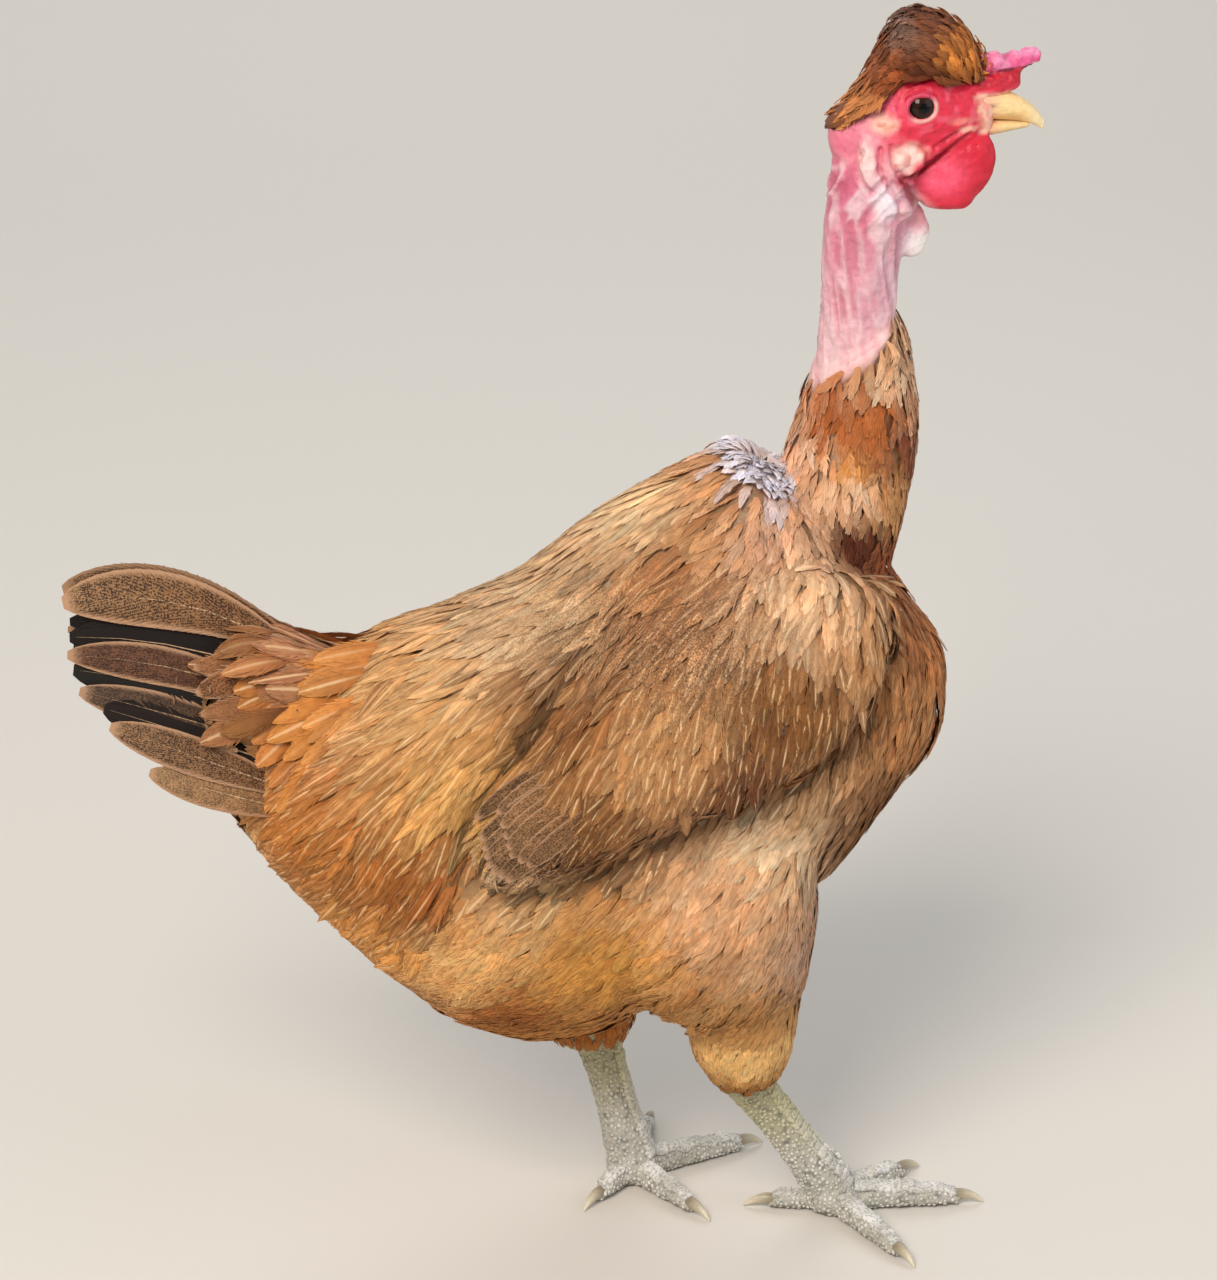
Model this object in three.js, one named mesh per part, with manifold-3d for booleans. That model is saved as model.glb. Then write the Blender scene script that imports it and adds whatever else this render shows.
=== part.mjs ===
// A bare-necked hen standing at life size, as a still model.
// Millimetres. +X runs toward the beak, +Y to the bird's left and +Z up; the feet stand on z = 0.
// Every sub-part is one closed solid. A solid that sits in its neighbour is cut with that
// neighbour's shape swollen by GAP, so that the two meet along a hairline and never overlap.

import * as THREE from 'three';
import Module from 'manifold-3d';

const wasm = await Module();
wasm.setup();

// ---------------------------------------------------------------- driving dimensions

const GAP = 0.3;
const RIGHT = -1;
const LEFT = 1;
const SIDES = { right: RIGHT, left: LEFT };

// Trunk with its feathers, cut across: [x, top, bottom, half width].
const TRUNK_SECTIONS = [
  [-141, 196, 171, 14],
  [-130, 213, 156, 31],
  [-110, 231, 134, 45],
  [-86, 248, 109, 55],
  [-58, 257, 87, 62],
  [-30, 269, 79, 67],
  [-4, 290, 82, 69],
  [24, 307, 98, 69],
  [50, 319, 113, 66],
  [70, 307, 131, 60],
  [90, 288, 153, 51],
  [107, 270, 174, 39],
  [120.5, 247, 191, 25],
];

// Feathered base of the neck, cut level: [height, back, front, half width].
const BIB_SECTIONS = [
  [380, 80.5, 109.5, 14.5],
  [362, 78.6, 112, 16.5],
  [346, 76, 115, 19],
  [330, 71, 117.5, 23],
  [314, 66, 117, 26.5],
  [298, 65, 113.5, 30],
  [283, 70, 110.5, 29],
  [270, 80, 107, 22],
];

// Bare neck, cut level: [height, back, front, half width].
const NECK_SECTIONS = [
  [434, 84, 116, 14.5],
  [420, 81.8, 116, 14],
  [406, 80.3, 112.5, 13.6],
  [392, 79.4, 108.8, 13],
  [378, 79.2, 107.6, 13],
  [364, 78.6, 109, 14],
  [346, 76.5, 111, 15.5],
  [330, 73, 112, 17],
];

// The line where skin gives way to feathers climbs toward the front of the neck.
const COLLAR_HEIGHT = 357;
const COLLAR_X = 92;
const COLLAR_SLOPE = 0.62;

// Head without its crest and beak, cut across: [x, top, bottom, half width].
const HEAD_SECTIONS = [
  [87, 447, 426, 10],
  [93, 456, 422, 13.6],
  [102, 462.5, 421, 15.6],
  [112, 464, 424, 16],
  [122, 462, 427, 14.4],
  [131, 458, 430.5, 11.2],
  [137, 453.5, 433.5, 8.6],
];

const EYE_RADIUS = 6.3;
const EYE_X = 112.4;
const EYE_Z = 450;
const EYE_OUT = 10.6;

// Both halves of the beak, cut across: [x, top, bottom, half width].
const BEAK_UPPER_SECTIONS = [
  [131, 455, 441.8, 7.2],
  [140, 453.5, 441.2, 6.4],
  [148, 451, 440.8, 5.2],
  [154, 447.6, 440, 3.7],
  [158, 444, 438.2, 2.2],
  [159.6, 441.4, 437, 1.2],
];
const BEAK_LOWER_SECTIONS = [
  [131, 441.5, 433.6, 6.2],
  [140, 441, 434.2, 5.4],
  [148, 440.6, 435.4, 4],
  [154, 440, 437, 2.4],
];

// Low single comb, cut across: [x, top, bottom, half width].
const COMB_SECTIONS = [
  [133, 461, 451, 2.6],
  [138.5, 465, 450.5, 4],
  [144, 462.5, 451, 4.4],
  [150, 465.6, 451.5, 4.2],
  [155.5, 464.5, 454, 2.8],
];

// Crest of swept-back feathers, cut across: [x, top, bottom, half width].
const CREST_SECTIONS = [
  [84.5, 447, 436, 8],
  [90, 456, 440, 12],
  [96, 468, 446, 14.6],
  [103, 480, 451, 15.6],
  [112, 483.8, 453, 16],
  [122, 482, 452, 15],
  [130, 474, 451, 12],
  [135.5, 465.5, 454, 7.5],
];

// One wattle, cut level: [height, back, front, distance out, half thickness].
const WATTLE_SECTIONS = [
  [436, 122, 138.5, 5.6, 2.6],
  [429, 114, 140.5, 6.6, 3.6],
  [421, 111.4, 139.5, 7.4, 4.2],
  [413, 115.5, 134, 7.6, 3.4],
];

// Pale lobe that hangs from the ear, cut level, in the same order.
const EARLOBE_SECTIONS = [
  [441, 93, 104, 12.8, 3],
  [431, 96, 110, 13.6, 3.4],
  [421, 97.5, 108, 13.2, 3],
  [413, 96, 106, 12.6, 3.2],
];

// Small bag of skin under the throat, cut level, in the same order.
const DEWLAP_SECTIONS = [
  [405, 107, 117.5, 0, 4.2],
  [399, 107, 119.4, 0, 4.8],
  [392, 107, 117, 0, 4],
];

// Folded wing from shoulder to tip: [x, distance out, z, half thickness, half depth].
const WING_STATIONS = [
  [97, 39, 263, 12, 18],
  [82, 47, 258, 17, 32],
  [55, 54, 248, 19, 41],
  [26, 59.5, 234, 18, 40],
  [-2, 63, 217, 14.5, 31],
  [-25, 66, 197, 9.5, 19.5],
  [-43, 68, 182, 6.5, 12],
];
// The wing leans in over the back by this many degrees.
const WING_LEAN = 15;

// Upper leg under its feathers, cut level: [height, back, front, distance out, half width].
const THIGH_SECTIONS = [
  [196, 12, 62, 36, 20],
  [172, -8, 75, 41, 28],
  [146, -18, 76.5, 42, 31],
  [122, -10, 74, 39.5, 28],
  [106, 8, 71, 35, 23],
];
const DRUMSTICK_SECTIONS = [
  [104, 28, 70.5, 32, 21],
  [90, 27, 70.5, 30, 21],
  [77, 30, 68.5, 28, 19],
  [68, 36.5, 63.5, 27.5, 14.5],
];

// The left leg trails: its thigh leans back as it comes down.
const LEFT_THIGH_SHIFT = -16;
const LEFT_THIGH_LEAN = 0.2;
const THIGH_TOP = 196;
const LEFT_DRUMSTICK_DROP = 8;
const LEFT_DRUMSTICK_SHIFT = -51;
const LEFT_DRUMSTICK_LEAN = 0.12;
const DRUMSTICK_TOP = 104;

// Where each hock bends and where each foot stands.
const HOCKS = { right: [48.5, -27, 68], left: [-4, 23, 67] };
const FEET = { right: [87.5, -16.5, 9], left: [11, 16.5, 9] };
const SHANK_HALF_DEPTH = 7.8;
const SHANK_HALF_WIDTH = 6.1;
const FOOT_PAD_RADIUS = 10.2;
const FOOT_PAD_HEIGHT = 8.6;

// Toes: [name, degrees from +X toward the bird's left, length without the claw, radius].
const TOES = {
  right: [
    ['middle', -2, 50, 4.7],
    ['inner', 36, 39, 4.3],
    ['outer', -64, 46, 4.4],
    ['hind', 172, 24, 4],
  ],
  left: [
    ['middle', 22, 50, 4.7],
    ['inner', -56, 37, 4.3],
    ['outer', 74, 42, 4.4],
    ['hind', -130, 23, 4.1],
  ],
};
const CLAW_LENGTH = 11;
const CLAW_RADIUS = 2.3;

// Coverts round the root of the tail, cut across: [x, top, bottom, half width].
const TAIL_COVERT_SECTIONS = [
  [-98, 243, 190, 21],
  [-110, 245, 186, 25],
  [-121, 252, 187, 26],
  [-132, 252, 192, 24],
  [-143, 246, 202, 19],
  [-153, 240, 211, 12],
];

// Quills of one half of the tail, from the ridge down: root, tip, arch, half width and how many
// degrees the vane turns from upright.
const TAIL_FEATHERS = [
  { root: [-120, 4, 243], tip: [-201.5, 6.5, 268], arch: 10, half: 13, turn: 14 },
  { root: [-120, 9.5, 226], tip: [-199.5, 15, 255], arch: 6, half: 12, turn: 20 },
  { root: [-120, 15.6, 208], tip: [-197.5, 23, 244], arch: 1, half: 11, turn: 24 },
  { root: [-120, 21.5, 195], tip: [-185, 29.5, 225], arch: 0, half: 10, turn: 28 },
];
const VANE_HALF_THICKNESS = 0.6;

// ---------------------------------------------------------------- materials

const PALETTE = {
  buff: ['#c08440', 0.95],
  rust: ['#a8642c', 0.95],
  brown: ['#8a5a2e', 0.95],
  peppered: ['#8d6a48', 0.9],
  pink: ['#d98f96', 0.7],
  red: ['#c8283c', 0.55],
  pale: ['#e6c3bb', 0.65],
  horn: ['#d9b56a', 0.45],
  eye: ['#2a1408', 0.15],
  scale: ['#b9b39c', 0.8],
  claw: ['#c9bfa5', 0.5],
};

function finish(slot) {
  const [color, roughness] = PALETTE[slot];
  return new THREE.MeshStandardMaterial({ name: slot, color, roughness, metalness: 0 });
}

// ---------------------------------------------------------------- lofting

// Catmull-Rom blend of four numbers.
function catmullRom(a, b, c, d, f) {
  const leave = (c - a) / 2;
  const arrive = (d - b) / 2;
  const cubic = (2 * b - 2 * c + leave + arrive) * f ** 3;
  const square = (-3 * b + 3 * c - 2 * leave - arrive) * f ** 2;
  return cubic + square + leave * f + b;
}

// The row at a place between the rows of a table.
function rowAt(rows, place) {
  const last = rows.length - 1;
  const i = Math.min(Math.floor(place), last - 1);
  const before = rows[Math.max(i - 1, 0)];
  const after = rows[Math.min(i + 2, last)];
  return rows[i].map((value, k) => (
    catmullRom(before[k], value, rows[i + 1][k], after[k], place - i)
  ));
}

// A power that squares off a circle's sine or cosine.
function squared(value, power) {
  return Math.sign(value) * Math.abs(value) ** (2 / power);
}

// Section frames along a table of [x, y, z, half width, half depth].
function frames(rows, steps, across, plane, grow) {
  const last = rows.length - 1;
  const count = steps * last;
  const list = [];
  for (let i = 0; i <= count; i += 1) {
    const place = (i / count) * last;
    const [x, y, z, wide, deep] = rowAt(rows, place);
    const ahead = new THREE.Vector3(...rowAt(rows, Math.min(place + 0.02, last)));
    const behind = new THREE.Vector3(...rowAt(rows, Math.max(place - 0.02, 0)));
    const normal = plane ? plane.clone() : ahead.sub(behind).normalize();
    const side = across.clone().addScaledVector(normal, -across.dot(normal)).normalize();
    const up = new THREE.Vector3().crossVectors(normal, side);
    const centre = new THREE.Vector3(x, y, z);
    list.push({ centre, normal, side, up, wide: wide + grow, deep: deep + grow });
  }
  return list;
}

// Shrinking sections that round off one end of a loft, from its rim outward.
function dome(frame, direction, cap, rings) {
  const height = cap * Math.min(frame.wide, frame.deep);
  const list = [];
  for (let k = 1; k <= rings; k += 1) {
    const angle = (k / (rings + 1)) * (Math.PI / 2);
    const centre = frame.centre.clone();
    centre.addScaledVector(frame.normal, direction * height * Math.sin(angle));
    const scale = Math.cos(angle);
    list.push({ ...frame, centre, wide: frame.wide * scale, deep: frame.deep * scale });
  }
  const tip = frame.centre.clone().addScaledVector(frame.normal, direction * height);
  return { list, tip };
}

// A closed solid through the sections of a table, with a dome at each end. One that stands on
// the floor is pressed flat where it would reach below it.
function loft(rows, options) {
  const { around, steps, across, plane = null, power = 2, caps = [0.6, 0.6], rings = 2 } = options;
  const grow = options.grow ?? 0;
  const lowest = options.onFloor && grow === 0 ? 0 : -Infinity;
  const spine = frames(rows, steps, across, plane, grow);
  const start = dome(spine[0], -1, caps[0], rings);
  const end = dome(spine[spine.length - 1], 1, caps[1], rings);
  const sections = [...start.list.reverse(), ...spine, ...end.list];
  const points = [];
  for (const { centre, side, up, wide, deep } of sections) {
    for (let j = 0; j < around; j += 1) {
      const angle = (j / around) * 2 * Math.PI;
      const point = centre.clone();
      point.addScaledVector(side, wide * squared(Math.cos(angle), power));
      point.addScaledVector(up, deep * squared(Math.sin(angle), power));
      point.z = Math.max(point.z, lowest);
      points.push(point);
    }
  }
  start.tip.z = Math.max(start.tip.z, lowest);
  end.tip.z = Math.max(end.tip.z, lowest);
  return closedSolid(points, sections.length, around, start.tip, end.tip);
}

// Joins rings of points into quads and closes both ends on a pole.
function closedSolid(points, ringCount, around, firstPole, lastPole) {
  const triangles = [];
  const first = points.length;
  const last = first + 1;
  const top = (ringCount - 1) * around;
  for (let j = 0; j < around; j += 1) {
    const next = (j + 1) % around;
    triangles.push(first, next, j);
    triangles.push(last, top + j, top + next);
    for (let i = 0; i < ringCount - 1; i += 1) {
      const low = i * around;
      const high = low + around;
      triangles.push(low + j, low + next, high + next);
      triangles.push(low + j, high + next, high + j);
    }
  }
  const corners = [...points, firstPole, lastPole].flatMap((point) => point.toArray());
  return manifold(corners, triangles);
}

function manifold(corners, triangles) {
  return new wasm.Manifold(new wasm.Mesh({
    numProp: 3,
    vertProperties: new Float32Array(corners),
    triVerts: new Uint32Array(triangles),
  }));
}

const X = new THREE.Vector3(1, 0, 0);
const Y = new THREE.Vector3(0, 1, 0);
const Z = new THREE.Vector3(0, 0, 1);

// Tables cut across the body, [x, top, bottom, half width], as loft rows.
function crossRows(table) {
  return table.map(([x, top, bottom, half]) => [x, 0, (top + bottom) / 2, half, (top - bottom) / 2]);
}

// Tables cut level, [height, back, front, distance out, half width], as loft rows.
function levelRows(table, side) {
  return table.map(([z, back, front, out, half]) => (
    [(back + front) / 2, side * out, z, half, (front - back) / 2]
  ));
}

// Level tables of the middle line, [height, back, front, half width], as loft rows.
function middleRows(table) {
  return table.map(([z, back, front, half]) => [(back + front) / 2, 0, z, half, (front - back) / 2]);
}

// A box between two corners, turned about Y by an angle at its own centre.
function block(size, centre, turn) {
  const geometry = new THREE.BoxGeometry(...size);
  geometry.deleteAttribute('normal');
  geometry.deleteAttribute('uv');
  geometry.rotateY(turn);
  geometry.translate(...centre);
  return solidFrom(geometry);
}

// A three.js geometry with doubled corners merged, as a solid.
function solidFrom(geometry) {
  const place = geometry.getAttribute('position');
  const seen = new Map();
  const corners = [];
  const renamed = [];
  for (let i = 0; i < place.count; i += 1) {
    const point = [place.getX(i), place.getY(i), place.getZ(i)];
    const key = point.map((value) => value.toFixed(4)).join(' ');
    if (!seen.has(key)) {
      seen.set(key, corners.length / 3);
      corners.push(...point);
    }
    renamed.push(seen.get(key));
  }
  const triangles = [];
  for (let i = 0; i < geometry.index.count; i += 3) {
    const face = [0, 1, 2].map((k) => renamed[geometry.index.getX(i + k)]);
    if (new Set(face).size === 3) {
      triangles.push(...face);
    }
  }
  return manifold(corners, triangles);
}

// ---------------------------------------------------------------- body shapes
// Each function takes the swelling in millimetres and gives the whole, uncut shape.

const trunk = (grow) => loft(crossRows(TRUNK_SECTIONS), {
  around: 22, steps: 1, across: Y, plane: X, power: 2.15, caps: [0.5, 0.36], rings: 2, grow,
});

const bib = (grow) => loft(middleRows(BIB_SECTIONS).reverse(), {
  around: 14, steps: 1, across: Y, plane: Z, grow,
});

const neck = (grow) => loft(middleRows(NECK_SECTIONS).reverse(), {
  around: 12, steps: 1, across: Y, plane: Z, caps: [0.1, 0.2], rings: 1, grow,
});

const head = (grow) => loft(crossRows(HEAD_SECTIONS), {
  around: 14, steps: 1, across: Y, plane: X, caps: [0.5, 0.4], grow,
});

const crest = (grow) => loft(crossRows(CREST_SECTIONS), {
  around: 12, steps: 1, across: Y, plane: X, caps: [0.6, 0.6], grow,
});

const comb = (grow) => loft(crossRows(COMB_SECTIONS), {
  around: 10, steps: 1, across: Y, plane: X, caps: [0.8, 0.9], rings: 1, grow,
});

const beakUpper = (grow) => loft(crossRows(BEAK_UPPER_SECTIONS), {
  around: 10, steps: 1, across: Y, plane: X, caps: [0.3, 0.8], rings: 1, grow,
});

const beakLower = (grow) => loft(crossRows(BEAK_LOWER_SECTIONS), {
  around: 10, steps: 1, across: Y, plane: X, caps: [0.3, 0.9], rings: 1, grow,
});

const tailCoverts = (grow) => loft(crossRows(TAIL_COVERT_SECTIONS).reverse(), {
  around: 14, steps: 1, across: Y, plane: X, caps: [0.3, 0.5], grow,
});

function eye(side, grow) {
  const geometry = new THREE.SphereGeometry(EYE_RADIUS + grow, 10, 6);
  geometry.rotateX(Math.PI / 2);
  geometry.translate(EYE_X, side * EYE_OUT, EYE_Z);
  return solidFrom(geometry);
}

function wattle(side, grow) {
  return loft(levelRows(WATTLE_SECTIONS, side).reverse(), {
    around: 10, steps: 1, across: Y, plane: Z, caps: [1, 0.5], grow,
  });
}

function earlobe(side, grow) {
  return loft(levelRows(EARLOBE_SECTIONS, side).reverse(), {
    around: 8, steps: 1, across: Y, plane: Z, caps: [1.1, 1], rings: 1, grow,
  });
}

function dewlap(grow) {
  return loft(levelRows(DEWLAP_SECTIONS, RIGHT).reverse(), {
    around: 8, steps: 1, across: Y, plane: Z, caps: [0.9, 0.9], grow,
  });
}

function wing(side, grow) {
  const rows = WING_STATIONS.map(([x, out, z, thick, deep]) => [x, side * out, z, thick, deep]);
  const lean = THREE.MathUtils.degToRad(WING_LEAN);
  const across = new THREE.Vector3(0, side * Math.cos(lean), Math.sin(lean));
  return loft(rows, { around: 14, steps: 1, across, caps: [0.8, 0.9], grow });
}

// Moves the sections of a leg back, more and more from the top down, and lowers them.
function trailing(rows, shift, lean, top, drop) {
  return rows.map(([x, y, z, ...sizes]) => [x + shift - (top - z) * lean, y, z - drop, ...sizes]);
}

function thigh(side, grow) {
  const level = levelRows(THIGH_SECTIONS, side).reverse();
  const back = trailing(level, LEFT_THIGH_SHIFT, LEFT_THIGH_LEAN, THIGH_TOP, 0);
  const rows = side === LEFT ? back : level;
  return loft(rows, { around: 14, steps: 1, across: Y, plane: Z, caps: [0.4, 0.5], grow });
}

function drumstick(side, grow) {
  const level = levelRows(DRUMSTICK_SECTIONS, side).reverse();
  const [shift, lean, drop] = [LEFT_DRUMSTICK_SHIFT, LEFT_DRUMSTICK_LEAN, LEFT_DRUMSTICK_DROP];
  const back = trailing(level, shift, lean, DRUMSTICK_TOP, drop);
  const rows = side === LEFT ? back : level;
  return loft(rows, { around: 12, steps: 1, across: Y, plane: Z, caps: [0.2, 0.5], rings: 1, grow });
}

// ---------------------------------------------------------------- legs and feet

// Bare shank: thick at the hock, slim in the middle and thick again at the foot.
function shank(name, grow) {
  const hock = new THREE.Vector3(...HOCKS[name]);
  const foot = new THREE.Vector3(...FEET[name]);
  const shape = [[-0.12, 1.2], [0, 1.2], [0.3, 1], [0.6, 1], [0.84, 1.14], [1, 1.25]];
  const rows = shape.map(([along, swell]) => {
    const place = hock.clone().lerp(foot, along);
    return [...place.toArray(), SHANK_HALF_WIDTH * swell, SHANK_HALF_DEPTH * swell];
  });
  const form = { around: 10, steps: 1, across: Y, caps: [0.5, 0.5], rings: 1 };
  return loft(rows.reverse(), { ...form, onFloor: true, grow });
}

function footPad(name, grow) {
  const [x, y] = FEET[name];
  const rows = [-0.75, -0.3, 0.3, 0.75].map((step) => {
    const swell = Math.sqrt(1 - step ** 2);
    return [x, y, FOOT_PAD_HEIGHT * (0.72 + step), FOOT_PAD_RADIUS * swell, FOOT_PAD_RADIUS * swell];
  });
  const form = { around: 8, steps: 1, across: Y, plane: Z, caps: [0.4, 0.4], rings: 1 };
  return loft(rows, { ...form, onFloor: true, grow });
}

// Rows along a toe's own line: [distance, height, radius] turned to the toe's heading.
function alongToe(name, heading, table) {
  const [x, y] = FEET[name];
  const angle = THREE.MathUtils.degToRad(heading);
  return table.map(([reach, height, radius]) => (
    [x + reach * Math.cos(angle), y + reach * Math.sin(angle), height, radius, radius]
  ));
}

function toeAcross(heading) {
  const angle = THREE.MathUtils.degToRad(heading + 90);
  return new THREE.Vector3(Math.cos(angle), Math.sin(angle), 0);
}

function toe(name, heading, length, radius, grow) {
  const rows = alongToe(name, heading, [
    [3, radius + 2.2, radius * 1.1],
    [length * 0.4, radius, radius * 1.02],
    [length * 0.65, radius * 0.84, radius * 0.86],
    [length * 0.84, radius * 0.78, radius * 0.84],
    [length - 1.5, radius * 0.72, radius * 0.62],
  ]);
  const form = { around: 8, steps: 1, across: toeAcross(heading), caps: [0.5, 0.8], rings: 1 };
  return loft(rows, { ...form, onFloor: true, grow });
}

// A claw curves down until its point rests on the floor.
function claw(name, heading, length, radius, grow) {
  const root = radius * 0.9;
  const rows = alongToe(name, heading, [
    [length - 1.5, root + 0.2, CLAW_RADIUS],
    [length + CLAW_LENGTH * 0.5, root - 0.4, CLAW_RADIUS * 0.72],
    [length + CLAW_LENGTH * 0.92, CLAW_RADIUS * 0.25, CLAW_RADIUS * 0.36],
  ]);
  const form = { around: 6, steps: 1, across: toeAcross(heading), caps: [0.5, 1.2], rings: 1 };
  return loft(rows, { ...form, onFloor: true, grow });
}

// ---------------------------------------------------------------- tail

// One quill with its vane, a thin curved blade with a rounded end.
function tailFeather(side, quill, grow) {
  const root = new THREE.Vector3(quill.root[0], side * quill.root[1], quill.root[2]);
  const tip = new THREE.Vector3(quill.tip[0], side * quill.tip[1], quill.tip[2]);
  const widths = [[0, 0.62], [0.35, 0.95], [0.7, 1], [0.92, 0.8]];
  const rows = widths.map(([along, width]) => {
    const place = root.clone().lerp(tip, along);
    place.z += quill.arch * 4 * along * (1 - along);
    return [...place.toArray(), VANE_HALF_THICKNESS, quill.half * width];
  });
  const turn = THREE.MathUtils.degToRad(quill.turn);
  const across = new THREE.Vector3(0, side * Math.cos(turn), Math.sin(turn));
  return loft(rows, { around: 6, steps: 1, across, caps: [0.5, 8], rings: 1, grow });
}

// ---------------------------------------------------------------- cutting

const COLLAR_LEAN = Math.atan(COLLAR_SLOPE);
const BIG = 400;

// All that lies above or below the slanting line between bare skin and feathers.
function pastCollar(above) {
  const away = (above ? 1 : -1) * (BIG / 2 - GAP / 2);
  const x = COLLAR_X - away * Math.sin(COLLAR_LEAN);
  const z = COLLAR_HEIGHT + away * Math.cos(COLLAR_LEAN);
  return block([BIG, BIG, BIG], [x, 0, z], -COLLAR_LEAN);
}

// Every sub-part: how it is shaped, what it is made of, and what is cut away from it.
const pieces = new Map();

function add(name, slot, shape, cutBy = [], planes = []) {
  pieces.set(name, { slot, shape, cutBy, planes });
}

add('trunk', 'buff', trunk);
add('bib', 'rust', bib, ['trunk'], [pastCollar(true)]);
add('neck', 'pink', neck, ['head'], [pastCollar(false)]);
add('head', 'red', head, ['eye_right', 'eye_left']);
add('beak_upper', 'horn', beakUpper, ['head']);
add('beak_lower', 'horn', beakLower, ['head', 'beak_upper']);
add('comb', 'red', comb, ['head', 'beak_upper']);
add('crest', 'brown', crest, ['head', 'comb']);
add('dewlap', 'pale', dewlap, ['neck', 'wattle_right', 'wattle_left']);
add('tail_coverts', 'rust', tailCoverts, ['trunk']);

for (const [name, side] of Object.entries(SIDES)) {
  add(`eye_${name}`, 'eye', (grow) => eye(side, grow));
  add(`wattle_${name}`, 'red', (grow) => wattle(side, grow), ['head', 'neck', 'beak_lower']);
  add(`earlobe_${name}`, 'pale', (grow) => earlobe(side, grow), ['head', 'neck', `wattle_${name}`]);
  add(`wing_${name}`, 'buff', (grow) => wing(side, grow), ['trunk']);
  add(`thigh_${name}`, 'buff', (grow) => thigh(side, grow), ['trunk', `wing_${name}`]);
  const aboveHock = ['trunk', `thigh_${name}`, `shank_${name}`];
  add(`drumstick_${name}`, 'rust', (grow) => drumstick(side, grow), aboveHock);
  add(`shank_${name}`, 'scale', (grow) => shank(name, grow));
  add(`foot_${name}`, 'scale', (grow) => footPad(name, grow), [`shank_${name}`]);
  TAIL_FEATHERS.forEach((quill, i) => {
    const shape = (grow) => tailFeather(side, quill, grow);
    add(`tail_feather_${name}_${i + 1}`, 'peppered', shape, ['tail_coverts', 'trunk']);
  });
  let earlier = [`foot_${name}`, `shank_${name}`];
  for (const [digit, heading, length, radius] of TOES[name]) {
    const toeName = `toe_${name}_${digit}`;
    const toeShape = (grow) => toe(name, heading, length, radius, grow);
    const clawShape = (grow) => claw(name, heading, length, radius, grow);
    add(toeName, 'scale', toeShape, earlier);
    add(`claw_${name}_${digit}`, 'claw', clawShape, [toeName]);
    earlier = [...earlier, toeName];
  }
}

function carve({ shape, cutBy, planes }) {
  let solid = shape(0);
  for (const other of cutBy) {
    solid = solid.subtract(pieces.get(other).shape(GAP));
  }
  for (const plane of planes) {
    solid = solid.subtract(plane);
  }
  return solid;
}

function meshOf(name, piece) {
  const { vertProperties, triVerts } = carve(piece).getMesh();
  const geometry = new THREE.BufferGeometry();
  geometry.setAttribute('position', new THREE.BufferAttribute(vertProperties, 3));
  geometry.setIndex(new THREE.BufferAttribute(triVerts, 1));
  geometry.computeVertexNormals();
  const mesh = new THREE.Mesh(geometry, finish(piece.slot));
  mesh.name = name;
  return mesh;
}

// ---------------------------------------------------------------- assembly

// Puts the origin under the middle of the model, at the level of the soles.
function centreOnFloor(model) {
  const box = new THREE.Box3().setFromObject(model);
  const middle = box.getCenter(new THREE.Vector3());
  model.position.set(-middle.x, -middle.y, -box.min.z);
}

const hen = new THREE.Group();
for (const [name, piece] of pieces) {
  hen.add(meshOf(name, piece));
}
centreOnFloor(hen);

export default hen;
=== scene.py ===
# %% [markdown]
# # A bare-necked hen at life size
# The solid model gives the hen's true size and main forms. Here those forms are dressed: one
# living skin over all of the flesh, then scales on the legs, horn on the beak and claws, and
# several thousand feathers built as real mesh. The first cell loads the solid model, which is
# never changed.

# %% Load the solid model
import math
import bmesh
import bpy
import numpy as np
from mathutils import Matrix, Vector
from mathutils.bvhtree import BVHTree
from mathutils.kdtree import KDTree


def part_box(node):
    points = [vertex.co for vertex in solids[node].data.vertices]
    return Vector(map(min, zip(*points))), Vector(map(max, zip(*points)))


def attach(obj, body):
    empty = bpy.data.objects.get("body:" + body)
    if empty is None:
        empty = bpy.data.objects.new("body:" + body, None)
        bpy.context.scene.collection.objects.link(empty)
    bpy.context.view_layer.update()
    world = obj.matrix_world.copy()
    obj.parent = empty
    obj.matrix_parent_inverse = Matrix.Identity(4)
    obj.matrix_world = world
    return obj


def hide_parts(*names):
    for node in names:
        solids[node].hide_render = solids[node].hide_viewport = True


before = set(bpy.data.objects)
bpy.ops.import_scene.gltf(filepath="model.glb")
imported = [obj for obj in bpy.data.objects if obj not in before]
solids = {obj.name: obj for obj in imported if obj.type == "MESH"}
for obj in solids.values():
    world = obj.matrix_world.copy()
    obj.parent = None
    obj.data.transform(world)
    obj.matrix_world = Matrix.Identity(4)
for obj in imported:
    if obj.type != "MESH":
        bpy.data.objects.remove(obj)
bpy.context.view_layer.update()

# %% [markdown]
# Places on the bird are written in drawing millimetres: x toward the beak, y to the bird's left
# and z up. The drawing was made before the solid model was centred, so one shift along x turns
# a drawing place into a scene place. The right eye, which is a solid of its own, gives that shift.

# %% Drawing millimetres
MM = 0.001
EYE = np.array([112.4, 10.6, 450.0])
eye_low, eye_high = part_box("eye_right")
SHIFT = np.array([(eye_low.x + eye_high.x) / 2 / MM - EYE[0], 0, 0])
RIGHT, LEFT = -1, 1
SIDES = {"right": RIGHT, "left": LEFT}


def to_scene(points):
    return (np.asarray(points, float) + SHIFT) * MM


def to_drawing(points):
    return np.asarray(points, float) / MM - SHIFT


def add_object(name, data):
    """A new object in the scene."""
    made = bpy.data.objects.new(name, data)
    bpy.context.scene.collection.objects.link(made)
    return made


print("drawing shift in mm", SHIFT[0])

# %% [markdown]
# A camera at a stroller's height looks slightly down on the bird's right side, from far enough
# away that the legs and the head keep their true sizes beside each other. A long lens does that.

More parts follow.
